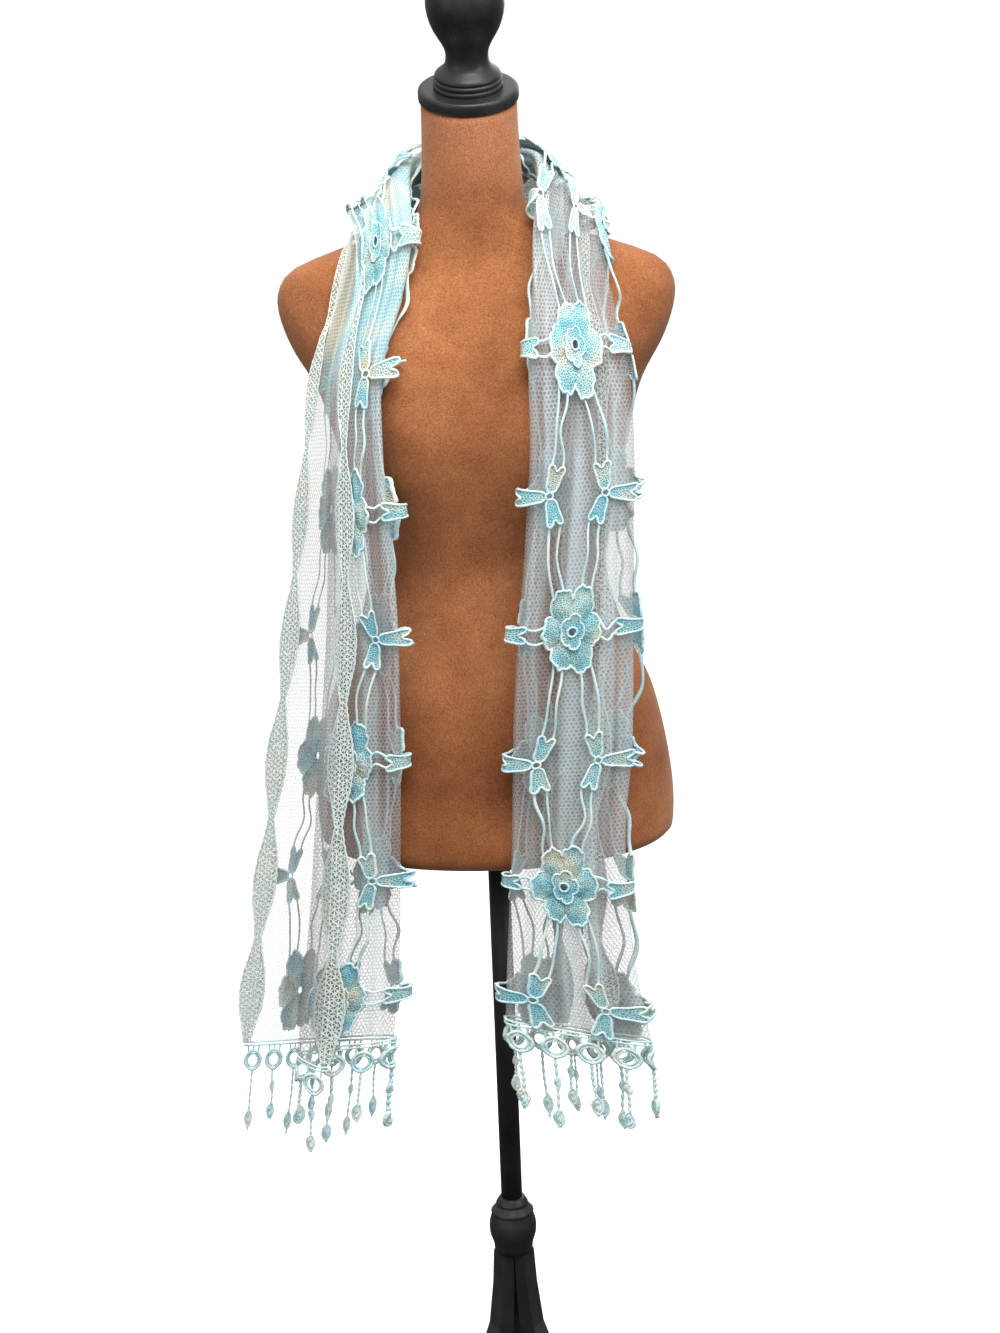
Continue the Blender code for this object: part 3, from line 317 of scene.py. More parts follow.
def overhang(u, v, w, edges):
    """How far the lace stands out past the two border folds, because it is stiffer than the net."""
    lace = np.clip(w / 0.003, 0, 1)
    uneven = 0.75 + 0.25 * np.sin(2 * np.pi * v / 0.163)
    inner = np.interp(u - edges[:, INNER_FOLD], (-0.010, -0.002, 0.004, 0.034), (0, 1, 1, 0))
    outer = np.interp(edges[:, OUTER_FOLD] - u, (-0.012, -0.003, 0.004, 0.034), (0, 1, 1, 0))
    return lace * uneven * (inner * np.interp(v, *INNER_REACH) - outer * np.interp(v, *OUTER_REACH))


def hem_drop(u, v, edges):
    drop = np.zeros_like(u)
    for rows, here, run in both_sides(v, HEM_DROP_LEFT, HEM_DROP_RIGHT):
        fade = np.clip(1 - run / HEM_REACH, 0, 1)
        creases, sizes = zip(*rows)
        held = edges[:, creases]
        size = np.broadcast_to(sizes, held.shape)
        low, high = around(held, u)
        t = np.clip((u - held[low]) / (held[high] - held[low]), 0, 1)
        value = size[low] * (1 - t) + size[high] * t
        drop += np.where(here, value * fade * fade * (3 - 2 * fade), 0)
    return drop


# %% Carrying flat points to the worn shawl
def worn(points):
    """The place of each flat point (u, v, w) on the dressed form."""
    u, v, w = points[:, 0], points[:, 1], points[:, 2]
    outer, across, width, out = band_frame(v)
    edges, shares, heights = crease_rows(np.clip(v, 0, LENGTH))
    step = 0.0008

    def section(at):
        along = read_curves(edges, shares, at) * width
        return along, read_curves(edges, heights, at) + soft_pleats(at, v)

    along, height = section(u)
    along0, height0 = section(u - step)
    along1, height1 = section(u + step)
    run = unit(np.stack((along1 - along0, height1 - height0), axis=1))
    rise = w + crumple(u, v)
    along = along + run[:, 1] * rise + overhang(u, v, w, edges)
    height = height - run[:, 0] * rise
    placed = outer + across * along[:, None] + out * height[:, None]
    placed[:, 2] -= hem_drop(u, v, edges)
    return placed + np.array(POLE)


# %% [markdown]
# ## Helpers for pieces
#
# A flat mesh keeps its cut as a UV map in metres, so that a pattern follows the cloth, and is
# then worn. Cords are curves with a round section, drawn flat too, turned to a mesh and worn.

# %% Making, wearing and adding a piece
def set_cut_uv(mesh):
    layer = mesh.uv_layers.new(name="cut")
    corner = np.empty(len(mesh.loops), dtype=np.int32)
    mesh.loops.foreach_get("vertex_index", corner)
    points = mesh_points(mesh)
    layer.data.foreach_set("uv", points[corner, :2].astype(np.float32).ravel())


def mesh_points(mesh):
    points = np.empty(len(mesh.vertices) * 3, dtype=np.float64)
    mesh.vertices.foreach_get("co", points)
    return points.reshape(-1, 3)


def wear(mesh):
    set_cut_uv(mesh)
    mesh.vertices.foreach_set("co", worn(mesh_points(mesh)).ravel())
    mesh.shade_smooth()
    mesh.update()
    return mesh


def mesh_from(bm, name):
    mesh = bpy.data.meshes.new(name)
    bm.to_mesh(mesh)
    bm.free()
    return mesh


def add_piece(name, mesh, material, replaced=()):
    mesh.name = name
    mesh.materials.clear()
    mesh.materials.append(material)
    piece = new_object(name, mesh)
    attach(piece, "root")
    if replaced:
        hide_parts(*replaced)
    print(name, "faces:", len(mesh.polygons))
    return piece


# %% Cords as round curves
def cords_mesh(paths, radius, closed=False, sides=1):
    """paths hold (u, v, w) or (u, v, w, thickness) points. sides 1 gives six sides."""
    curve = bpy.data.curves.new("cords", "CURVE")
    curve.dimensions = "3D"
    curve.bevel_depth = radius
    curve.bevel_resolution = sides
    curve.use_fill_caps = True
    for path in paths:
        spline = curve.splines.new("POLY")
        spline.points.add(len(path) - 1)
        spline.use_cyclic_u = closed
        for point, place in zip(spline.points, path):
            point.co = (place[0], place[1], place[2], 1)
            point.radius = place[3] if len(place) > 3 else 1
    holder = new_object("cords", curve)
    ready = holder.evaluated_get(bpy.context.evaluated_depsgraph_get())
    mesh = bpy.data.meshes.new_from_object(ready)
    bpy.data.objects.remove(holder)
    return mesh


def knobbly(paths, spacing=0.0016):
    """The same paths with points at an even spacing and an uneven thickness, as spun thread has."""
    made = []
    for path in paths:
        points = np.array([point[:3] for point in path])
        loop = np.vstack((points, points[:1]))
        at = np.concatenate(([0], np.cumsum(np.linalg.norm(np.diff(loop, axis=0), axis=1))))
        count = max(8, int(at[-1] / spacing))
        spots = np.linspace(0, at[-1], count, endpoint=False)
        smooth = np.stack([np.interp(spots, at, loop[:, axis]) for axis in range(3)], axis=1)
        made.append([(*spot, 1 + DICE.uniform(-0.16, 0.16)) for spot in smooth])
    return made


def joined(meshes, name):
    bm = bmesh.new()
    for mesh in meshes:
        bm.from_mesh(mesh)
    return mesh_from(bm, name)


# %% [markdown]
# ## Finishes
#
# Each finish is a small node tree. Patterns on the cloth read its cut UV map, so they follow
# the folds. Patterns on the form and stand read object coordinates.

# %% A small helper that keeps node trees readable
class Finish:
    def __init__(self, name):
        self.material = bpy.data.materials.new(name)
        self.material.use_nodes = True
        self.tree = self.material.node_tree
        self.shader = self.tree.nodes["Principled BSDF"]
        self.coords = self.node("ShaderNodeTexCoord")

    def feed(self, socket, value):
        if isinstance(value, bpy.types.NodeSocket):
            self.tree.links.new(value, socket)
        else:
            socket.default_value = value

    def node(self, kind, inputs=None, **settings):
        made = self.tree.nodes.new(kind)
        for key, value in settings.items():
            setattr(made, key, value)
        for key, value in (inputs or {}).items():
            self.feed(made.inputs[key], value)
        return made

    def maths(self, operation, a, b=0.0):
        return self.node("ShaderNodeMath", {0: a, 1: b}, operation=operation).outputs[0]

    def scaled(self, value, by, plus=0.0):
        return self.maths("ADD", self.maths("MULTIPLY", value, by), plus)

    def vector(self, operation, a, b=(0, 0, 0)):
        made = self.node("ShaderNodeVectorMath", {0: a, 1: b}, operation=operation)
        return made.outputs["Value" if operation in ("LENGTH", "DOT_PRODUCT") else "Vector"]

    def part(self, place, axis):
        return self.node("ShaderNodeSeparateXYZ", {0: place}).outputs[axis]

    def ease(self, value, low, high):
        inputs = {"Value": value, "From Min": low, "From Max": high}
        return self.node("ShaderNodeMapRange", inputs, interpolation_type="SMOOTHSTEP").outputs["Result"]

    def noise(self, place, scale, detail=2.0, roughness=0.5, output="Fac"):
        inputs = {"Vector": place, "Scale": scale, "Detail": detail, "Roughness": roughness}
        return self.node("ShaderNodeTexNoise", inputs).outputs[output]

    def wobbled(self, place, scale, reach):
        """The same place, shifted unevenly by up to reach, so that a pattern isn't too even."""
        shift = self.noise(place, scale, output="Color")
        return self.vector("ADD", place, self.vector("MULTIPLY", shift, (reach, reach, 0)))

    def ramp(self, value, stops):
        made = self.node("ShaderNodeValToRGB", {"Fac": value})
        elements = made.color_ramp.elements
        while len(elements) < len(stops):
            elements.new(0.5)
        for element, (place, colour) in zip(elements, stops):
            element.position = place
            element.color = (*colour, 1)
        return made.outputs["Color"]

    def mix(self, share, a, b, blend="MIX"):
        inputs = {"Factor": share, 6: a, 7: b}
        return self.node("ShaderNodeMix", inputs, data_type="RGBA", blend_type=blend).outputs[2]

    def set(self, **values):
        """Each value goes to the shader's socket of that name, with spaces for underscores."""
        for key, value in values.items():
            self.feed(self.shader.inputs[key.replace("_", " ")], value)

    def bump(self, height, strength, distance):
        inputs = {"Strength": strength, "Distance": distance, "Height": height}
        self.set(Normal=self.node("ShaderNodeBump", inputs).outputs["Normal"])

    def cut(self):
        """The place on the flat cut, in millimetres."""
        place = self.node("ShaderNodeUVMap", uv_map="cut").outputs["UV"]
        return self.vector("MULTIPLY", place, (1000, 1000, 1000))

    def round_holes(self, place, cell):
        """Distance from the nearest hole's middle, in cells, for holes set in rows like honeycomb."""
        rows = []
        tall = 1.732
        for shift in ((0, 0, 0), (0.5, 0.5, 0)):
            cells = self.vector("ADD", self.vector("DIVIDE", place, (cell, cell * tall, 1)), shift)
            local = self.vector("SUBTRACT", self.vector("FRACTION", cells), (0.5, 0.5, 0))
            flat = self.vector("MULTIPLY", local, (1, tall, 0))
            rows.append(self.vector("LENGTH", flat))
        return self.maths("MINIMUM", *rows)

    def crossed_threads(self, place, pitch):
        """Distance to the nearest of three sets of threads that cross in stars, in millimetres."""
        nearest = 10.0
        for turn in (0, 60, 120):
            across = (math.cos(math.radians(turn)), math.sin(math.radians(turn)), 0)
            run = self.vector("DOT_PRODUCT", place, across)
            step = self.maths("FRACT", self.maths("DIVIDE", run, pitch))
            middle = self.maths("ABSOLUTE", self.maths("SUBTRACT", step, 0.5))
            off = self.maths("MULTIPLY", self.maths("SUBTRACT", 0.5, middle), pitch)
            nearest = self.maths("MINIMUM", off, nearest)
        return nearest


# %% [markdown]
# The thread is dyed in uneven patches: mint-white for the most part, with aqua and turquoise
# pools and some pale cream. One noise across the cut gives the same dye to flowers and cords.

# %% The dye of the lace thread
CREAM = (0.62, 0.60, 0.42)
PALE = (0.53, 0.68, 0.63)
MINT = (0.38, 0.66, 0.66)
AQUA = (0.24, 0.59, 0.66)
TURQUOISE = (0.12, 0.50, 0.62)
DYES = ((0.32, CREAM), (0.41, PALE), (0.48, MINT), (0.55, AQUA), (0.66, TURQUOISE))
CREAM_POOL = (15, 775, 0)


def thread_dye(finish, place):
    dyed = finish.ramp(finish.noise(place, 0.030, 2.0, 0.5), DYES)
    pool = finish.vector("SUBTRACT", place, CREAM_POOL)
    pool = finish.vector("LENGTH", finish.vector("MULTIPLY", pool, (1, 0.6, 0)))
    return finish.mix(finish.ease(pool, 75, 40), dyed, (*CREAM, 1))


# %% Lace thread: plain for cords, spongy for the flowers, starry mesh for the lozenges (sizes in mm)
FLOWER_CELL = 2.3
THREAD_PITCH = 4.8


def finish_thread(finish, colour, height):
    finish.set(Base_Color=colour, Roughness=0.8, Sheen_Weight=0.1, Specular_IOR_Level=0.2)
    finish.bump(height, 0.8, 0.0009)
    return finish.material


def thread_grain(finish, place):
    return finish.noise(place, 0.9, 3.0, 0.65)


def fluffy(finish, colour, grain, lighter):
    fluff = finish.ease(grain, 0.44, 0.70)
    return finish.mix(finish.maths("MULTIPLY", fluff, lighter), colour, (0.90, 0.95, 0.92, 1))


def make_cord_thread(name, undyed):
    """undyed is the share of the thread that kept its pale colour."""
    finish = Finish(name)
    place = finish.cut()
    grain = thread_grain(finish, place)
    colour = finish.mix(undyed, thread_dye(finish, place), (0.78, 0.83, 0.79, 1))
    colour = fluffy(finish, colour, grain, 0.70)
    return finish_thread(finish, colour, grain)


def make_flower_mesh():
    """Small close cells, which read as a spongy filling, with painted shade in their holes."""
    finish = Finish("flower_mesh")
    place = finish.cut()
    grain = thread_grain(finish, place)
    colour = fluffy(finish, thread_dye(finish, place), grain, 0.62)
    inputs = {"Vector": place, "Scale": 1 / FLOWER_CELL}
    cells = finish.node("ShaderNodeTexVoronoi", inputs, feature="DISTANCE_TO_EDGE", voronoi_dimensions="2D")
    thread = finish.ease(cells.outputs["Distance"], 0.30, 0.12)
    # Painted shade: the holes between the cells are the dye multiplied darker, as the shade seen through
    # them
    painted_hole_shade = finish.mix(1.0, colour, (0.50, 0.52, 0.52, 1), "MULTIPLY")
    colour = finish.mix(thread, painted_hole_shade, colour)
    finish.set(Alpha=finish.scaled(thread, 0.12, 0.88))
    return finish_thread(finish, colour, finish.scaled(thread, 1.5, grain))


def make_lozenge_mesh():
    """Pale threads that cross in stars, over small holes painted near black as shade."""
    finish = Finish("lozenge_mesh")
    flat = finish.cut()
    grain = thread_grain(finish, flat)
    crossed = finish.crossed_threads(finish.wobbled(flat, 0.22, 4.5), THREAD_PITCH)
    thread = finish.ease(crossed, 0.95, 0.42)
    pale = finish.mix(0.25, (0.86, 0.89, 0.82, 1), thread_dye(finish, flat))
    # Painted shade: between the threads the colour is a near-black green, as the shade seen through the
    # holes
    colour = finish.mix(thread, (0.15, 0.17, 0.14, 1), fluffy(finish, pale, grain, 0.90))
    finish.set(Alpha=finish.scaled(thread, 0.22, 0.78))
    return finish_thread(finish, colour, finish.scaled(thread, 1.5, grain))


CORD_THREAD = make_cord_thread("cord_thread", 0.42)
EDGE_THREAD = make_cord_thread("edge_thread", 0.75)
FLOWER_MESH = make_flower_mesh()
LOZENGE_MESH = make_lozenge_mesh()


# %% The net: round holes in rows, and denser where it is bunched at the neck (sizes in mm)
NET_PITCH = 4.3


def make_net_finish():
    finish = Finish("sheer_net")
    place = finish.cut()
    along = finish.part(place, "Y")
    bunched = finish.maths("MULTIPLY", finish.ease(along, 600, 700), finish.ease(along, 1120, 1000))
    solid = finish.ease(finish.round_holes(finish.wobbled(place, 0.12, 3), NET_PITCH), 0.30, 0.42)
    drawn_out = finish.vector("MULTIPLY", place, (0.055, 0.0022, 0))
    streaks = finish.ease(finish.noise(drawn_out, 1.0, 2.0), 0.42, 0.62)
    colour = finish.mix(streaks, (0.39, 0.365, 0.36, 1), (0.58, 0.66, 0.68, 1))
    dyed = finish.mix(0.35, thread_dye(finish, place), (0.70, 0.76, 0.74, 1))
    colour = finish.mix(finish.maths("MULTIPLY", bunched, 0.85), colour, dyed)
    alpha = finish.scaled(solid, 0.34, 0.15)
    alpha = finish.scaled(streaks, 0.16, alpha)
    alpha = finish.scaled(bunched, 0.24, alpha)
    finish.set(Base_Color=colour, Roughness=0.8, Alpha=alpha, Specular_IOR_Level=0.2)
    return finish.material


NET = make_net_finish()


# %% Suede, painted wood and painted metal
SUEDE_BROWNS = ((0.32, (0.205, 0.071, 0.026)), (0.50, (0.310, 0.114, 0.044)), (0.68, (0.43, 0.175, 0.075)))
# Painted shade on the lower body: the brown is multiplied darker, least at the bottom edge, most a little
# above it, and not at all from the waist up
PAINTED_LOWER_SHADE = ((0.0, (1.0, 0.94, 0.88)), (0.22, (0.62, 0.55, 0.50)), (1.0, (1.0, 1.0, 1.0)))
SPECKLES = ((0.36, (0.70, 0.68, 0.66)), (0.64, (1.30, 1.32, 1.36)))
BLACKS = ((0.35, (0.009, 0.009, 0.0095)), (0.7, (0.019, 0.019, 0.020)))


def make_suede():
    finish = Finish("suede")
    place = finish.coords.outputs["Object"]
    nap = finish.noise(place, 7.0, 5.0, 0.66)
    grain = finish.noise(place, 640.0, 3.0, 0.75)
    colour = finish.ramp(nap, SUEDE_BROWNS)
    height = finish.part(place, "Z")
    neck = finish.ease(height, 1.36, 1.47)
    colour = finish.mix(finish.maths("MULTIPLY", neck, 0.45), colour, (0.50, 0.21, 0.11, 1))
    # Painted shade: the colour is multiplied darker from just above the bottom edge up to the waist
    lower = finish.ramp(finish.ease(height, 0.76, 1.02), PAINTED_LOWER_SHADE)
    colour = finish.mix(1.0, colour, lower, "MULTIPLY")
    colour = finish.mix(1.0, colour, finish.ramp(grain, SPECKLES), "MULTIPLY")
    finish.set(Base_Color=colour, Roughness=0.92, Specular_IOR_Level=0.10)
    finish.set(Sheen_Weight=0.22, Sheen_Roughness=0.45, Sheen_Tint=(1.0, 0.82, 0.70, 1))
    finish.bump(grain, 0.45, 0.0008)
    return finish.material


def make_black(name, roughness, scale, strength):
    finish = Finish(name)
    place = finish.coords.outputs["Object"]
    grain = finish.noise(place, scale, 3.0, 0.6)
    wear_marks = finish.noise(place, 30.0, 3.0, 0.6)
    rough = finish.scaled(wear_marks, 0.16, roughness - 0.08)
    finish.set(Base_Color=finish.ramp(wear_marks, BLACKS), Roughness=rough, Specular_IOR_Level=0.38)
    finish.bump(grain, strength, 0.0006)
    return finish.material


SUEDE = make_suede()
BLACK_WOOD = make_black("satin_black_wood", 0.40, 500.0, 0.30)
BLACK_METAL = make_black("matt_black_metal", 0.52, 800.0, 0.15)
print("finishes:", len(bpy.data.materials))

# %% [markdown]
# ## The dress form
#
# The body is a smooth stuffed form covered in suede. Rings of points, one for each height, are
# bridged into one closed skin. The heights are close together, so the skin needs no smoothing.

# %% Sections of the form: height, half width, depth in front, depth behind, bust, y of the middle
TORSO_SECTIONS = np.array(
    (
        (0.754, 0.170, 0.108, 0.106, 0.000, 0.000),
        (0.764, 0.1775, 0.114, 0.113, 0.000, 0.000),
        (0.820, 0.177, 0.115, 0.114, 0.000, 0.000),
        (0.906, 0.160, 0.105, 0.102, 0.000, 0.000),
        (0.960, 0.136, 0.095, 0.091, 0.000, 0.000),
        (1.010, 0.120, 0.087, 0.084, 0.000, 0.000),
        (1.055, 0.117, 0.086, 0.086, 0.002, 0.000),
        (1.100, 0.124, 0.092, 0.094, 0.008, 0.000),
        (1.145, 0.137, 0.099, 0.101, 0.017, 0.000),
        (1.180, 0.146, 0.101, 0.105, 0.020, 0.000),
        (1.215, 0.157, 0.097, 0.106, 0.014, 0.000),
        (1.255, 0.179, 0.086, 0.104, 0.005, 0.000),
        (1.290, 0.190, 0.073, 0.096, 0.001, 0.002),
        (1.312, 0.187, 0.062, 0.086, 0.000, 0.003),
        (1.328, 0.172, 0.054, 0.076, 0.000, 0.003),
        (1.343, 0.133, 0.049, 0.066, 0.000, 0.003),
        (1.357, 0.088, 0.047, 0.056, 0.000, 0.002),
        (1.374, 0.056, 0.046, 0.048, 0.000, 0.001),
        (1.400, 0.0485, 0.0450, 0.0450, 0.000, 0.000),
        (1.440, 0.0460, 0.0445, 0.0445, 0.000, -0.001),
        (1.480, 0.0450, 0.0435, 0.0435, 0.000, -0.004),
    )
)
NECK_TILT = math.radians(18)
BUST_SPREAD = 0.045
BUST_PLACE = 0.078
FORM_SIDES = 96
FORM_FIT = 0.994


def form_section(height):
    places = np.broadcast_to(TORSO_SECTIONS[:, 0], (5, len(TORSO_SECTIONS)))
    return read_curves(places, TORSO_SECTIONS[:, 1:].T.copy(), np.full(5, height))


def form_ring(bm, height, shrink=1.0):
    half_width, front, behind, bust, middle = form_section(height)
    lean = math.tan(NECK_TILT) * max(0.0, min(1.0, (height - 1.41) / 0.07))
    ring = bmesh.ops.create_circle(bm, segments=FORM_SIDES, radius=1)["verts"]
    for point in ring:
        x = half_width * point.co.x * FORM_FIT * shrink
        y_share = point.co.y
        depth = front + bust * math.exp(-(((abs(x) - BUST_PLACE) / BUST_SPREAD) ** 2))
        y = middle + (depth if y_share < 0 else behind) * y_share * FORM_FIT * shrink
        point.co = (x, y, height + lean * y)
    return list({edge for point in ring for edge in point.link_edges})


def make_form():
    bm = bmesh.new()
    heights = [0.7545, 0.7555, 0.758, 0.762] + list(np.arange(0.768, 1.4795, 0.008)) + [1.4799]
    shrinks = {0.7545: 0.985, 0.7555: 0.993, 0.758: 0.998}
    rings = [form_ring(bm, height, shrinks.get(height, 1.0)) for height in heights]
    for lower, upper in zip(rings, rings[1:]):
        bmesh.ops.bridge_loops(bm, edges=lower + upper)
    bmesh.ops.holes_fill(bm, edges=rings[0] + rings[-1], sides=0)
    bmesh.ops.translate(bm, verts=bm.verts, vec=POLE)
    bmesh.ops.recalc_face_normals(bm, faces=bm.faces)
    mesh = mesh_from(bm, "dress_form")
    mesh.shade_smooth()
    return add_piece("dress_form", mesh, SUEDE, ("form_torso",))


dress_form = make_form()

# %% [markdown]
# ## Turned parts
#
# The neck cap, the finial, the pole and the hub are turned on a lathe, so each is one outline
# spun round its axis. The finial stands on three stepped rings, and the cap leans forward.


# %% Spinning an outline
def spun(outline, sides=72):
    bm = bmesh.new()
    points = [bm.verts.new((radius, 0, height)) for radius, height in outline]
    edges = [bm.edges.new(pair) for pair in zip(points, points[1:])]
    turn = {"cent": (0, 0, 0), "axis": (0, 0, 1), "angle": math.tau, "steps": sides}
    bmesh.ops.spin(bm, geom=points + edges, use_merge=True, **turn)
    bmesh.ops.remove_doubles(bm, verts=bm.verts, dist=0.00001)
    bmesh.ops.recalc_face_normals(bm, faces=bm.faces)
    return bm


# %% The cap and the finial
SEAM = 0.0003
CAP_THICK = 0.013
SEAT = Vector((0, -0.004, 1.480 - 0.004 * math.tan(NECK_TILT) + SEAM / math.cos(NECK_TILT)))
CAP_OUTLINE = (
    (0, 0.0), (0.0430, 0.0), (0.0455, 0.0006), (0.0466, 0.0018), (0.0470, 0.0036), (0.0470, 0.0096),
    (0.0466, 0.0114), (0.0455, 0.0126), (0.0440, 0.0130), (0.0415, 0.0130), (0, 0.0130),
)
FINIAL_OUTLINE = (
    (0, 0.0), (0.0322, 0.0), (0.0325, 0.0006), (0.0325, 0.0030), (0.0320, 0.0037), (0.0306, 0.0040),
    (0.0306, 0.0048), (0.0318, 0.0052), (0.0321, 0.0060), (0.0321, 0.0080), (0.0316, 0.0087),
    (0.0298, 0.0090), (0.0298, 0.0098), (0.0308, 0.0102), (0.0311, 0.0110), (0.0308, 0.0126),
    (0.0296, 0.0142), (0.0272, 0.0162), (0.0240, 0.0186), (0.0217, 0.0212), (0.0203, 0.0250),
    (0.0198, 0.0300), (0.0201, 0.0345), (0.0216, 0.0392), (0.0240, 0.0440), (0.0272, 0.0495),
    (0.0305, 0.0555), (0.0333, 0.0625), (0.0353, 0.0700), (0.0363, 0.0770), (0.0362, 0.0850),
    (0.0352, 0.0920), (0.0332, 0.0990), (0.0300, 0.1060), (0.0258, 0.1115), (0.0205, 0.1160),
    (0.0145, 0.1193), (0.0075, 0.1213), (0, 0.1220),
)


def leaned(bm, height):
    turn = Matrix.Rotation(NECK_TILT, 3, "X")
    bmesh.ops.translate(bm, verts=bm.verts, vec=(0, 0, height))
    bmesh.ops.rotate(bm, verts=bm.verts, cent=(0, 0, 0), matrix=turn)
    bmesh.ops.translate(bm, verts=bm.verts, vec=POLE + SEAT)


def make_turned(name, outline, lean, material, replaced):
    bm = spun(outline)
    if lean is None:
        bmesh.ops.translate(bm, verts=bm.verts, vec=POLE)
    else:
        leaned(bm, lean)
    mesh = mesh_from(bm, name)
    mesh.shade_smooth()
    return add_piece(name, mesh, material, replaced)


cap = make_turned("neck_disc", CAP_OUTLINE, 0, BLACK_WOOD, ("neck_cap",))
finial = make_turned(
    "turned_finial", FINIAL_OUTLINE, CAP_THICK + SEAM, BLACK_WOOD, ("finial",)
)

# %% The pole and the hub
HUB_TOP = 0.354
POLE_OUTLINE = ((0, HUB_TOP + SEAM), (0.0110, HUB_TOP + SEAM), (0.0110, 0.7537), (0, 0.7537))
HUB_OUTLINE = (
    (0, 0.240), (0.0060, 0.240), (0.0060, 0.2930), (0.0200, 0.2930), (0.0202, 0.2990), (0.0212, 0.3040),
    (0.0228, 0.3085), (0.0240, 0.3130), (0.0245, 0.3180), (0.0245, 0.3230), (0.0240, 0.3270),
    (0.0228, 0.3310), (0.0218, 0.3350), (0.0216, 0.3362), (0.0222, 0.3372), (0.0222, 0.3384),
    (0.0212, 0.3396), (0.0192, 0.3420), (0.0172, 0.3440), (0.0163, 0.3452), (0.0167, 0.3462),
    (0.0167, 0.3474), (0.0158, 0.3488), (0.0145, 0.3515), (0.0132, 0.3534), (0.0120, 0.3540), (0, 0.3540),
)
pole = make_turned("pole_tube", POLE_OUTLINE, None, BLACK_METAL, ("pole",))
hub = make_turned("turned_hub", HUB_OUTLINE, None, BLACK_WOOD, ("stand_hub",))
for number in (1, 2, 3):
    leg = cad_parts[f"stand_leg_{number}"]
    leg.data.materials.clear()
    leg.data.materials.append(BLACK_WOOD)


# %% [markdown]
# ## The net
#
# The ground of the shawl is one sheet of sheer net. It stays a single layer, because a doubled
# net would show its pattern twice. A grid is laid over the cut and then worn.

# %% The net cloth
def make_net():
    across, along = 110, 300
    bm = bmesh.new()
    bmesh.ops.create_grid(bm, x_segments=across, y_segments=along, size=0.5)
    bmesh.ops.translate(bm, verts=bm.verts, vec=(0.5, 0.5, 0))
    bmesh.ops.scale(bm, verts=bm.verts, vec=(CUT_WIDTH, LENGTH, 1))
    mesh = wear(mesh_from(bm, "net_cloth"))
    return add_piece("net_cloth", mesh, NET, ("net_left", "net_neck", "net_right"))


net_cloth = make_net()
area = sum(face.area for face in net_cloth.data.polygons)
print("net area worn / flat:", round(area / (CUT_WIDTH * LENGTH), 3))

# %% [markdown]
# ## The layout of the lace
#
# Rows of side flowers alternate with rows of one middle flower. Connectors stand between them,
# and double cords run from each connector's forked arms to the petals of the next row.

# %% Where each motif stands
ROWS_LEFT = [0.0500 + 0.1205 * i for i in range(7)]
ROWS_RIGHT = [LENGTH - 0.0285 - 0.1278 * i for i in range(7)][::-1]
GAP = (ROWS_RIGHT[0] - ROWS_LEFT[-1]) / 4
ROW_PLACES = ROWS_LEFT + [ROWS_LEFT[-1] + GAP * (i + 1) for i in range(3)] + ROWS_RIGHT
MIDDLE = CUT_WIDTH / 2
FLOWER_COLUMN = 0.095
# Name of the motif, kind, u, and the way its level arm points
EVEN_ROW = (
    ("flower_a", "flower", MIDDLE - FLOWER_COLUMN, 0),
    ("flower_b", "flower", MIDDLE + FLOWER_COLUMN, 0),
    ("link_1", "connector", MIDDLE - 0.028, -1),
    ("link_2", "connector", MIDDLE + 0.028, 1),
)
ODD_ROW = (
    ("flower_m", "flower", MIDDLE, 0),
    ("link_a_out", "connector", MIDDLE - FLOWER_COLUMN - 0.028, -1),
    ("link_a_in", "connector", MIDDLE - FLOWER_COLUMN + 0.028, 1),
    ("link_b_in", "connector", MIDDLE + FLOWER_COLUMN - 0.028, -1),
    ("link_b_out", "connector", MIDDLE + FLOWER_COLUMN + 0.028, 1),
)
LACE_HEIGHT = 0.0033


def lay_out_rows():
    rows = []
    for number, v in enumerate(ROW_PLACES):
        row = {}
        for name, kind, u, side in EVEN_ROW if number % 2 == 0 else ODD_ROW:
            if name == "link_b_out" and v < SHOULDERS[0]:
                continue
            row[name] = {"kind": kind, "at": Vector((u, v)), "side": side, "turn": DICE.uniform(-5, 5)}
        rows.append(row)
    return rows


ROWS = lay_out_rows()
print("motifs:", sum(len(row) for row in ROWS))


def over_shoulders(v):
    """The lace stands a little higher where the band bends over the shoulders."""
    return float(np.interp(v, (AT[5], AT[7], AT[21], AT[23]), (0, 1, 1, 0)))


def lace_height(v):
    return LACE_HEIGHT + 0.0016 * over_shoulders(v)


def small_ring(at, half_u, half_v, height, count):
    turns = np.arange(0, math.tau, math.tau / count)
    return [(at.x + half_u * math.cos(t), at.y + half_v * math.sin(t), height) for t in turns]


# %% [markdown]
# ## Flowers
#
# A flower has six scalloped petals with a corded outline and a mesh filling, a smaller raised
# flower in its middle, and a ring with a hole at its heart. A circle of points is drawn in
# ring by ring towards the middle and given the petals' outline and relief.

# %% The outline and relief of a flower
PETALS = 6
HALF_WIDTH, HALF_HEIGHT = 0.0285, 0.0435
FLOWER_SIDES = 96


def petal_reach(motif, turn, lobes, depth):
    lobe = abs(math.cos(lobes / 2 * turn))
    ripple = 0.026 * math.sin(17 * turn + motif["turn"]) + 0.020 * math.sin(29 * turn)
    size = motif["sizes"][round(turn / math.tau * lobes) % lobes]
    return 1 - depth + depth * lobe**0.55 + ripple + (size - 1) * lobe


def flower_place(motif, turn, reach):
    spin = turn + math.radians(motif["turn"])
    at = motif["at"]
    return at.x + HALF_WIDTH * reach * math.cos(spin), at.y + HALF_HEIGHT * reach * math.sin(spin)


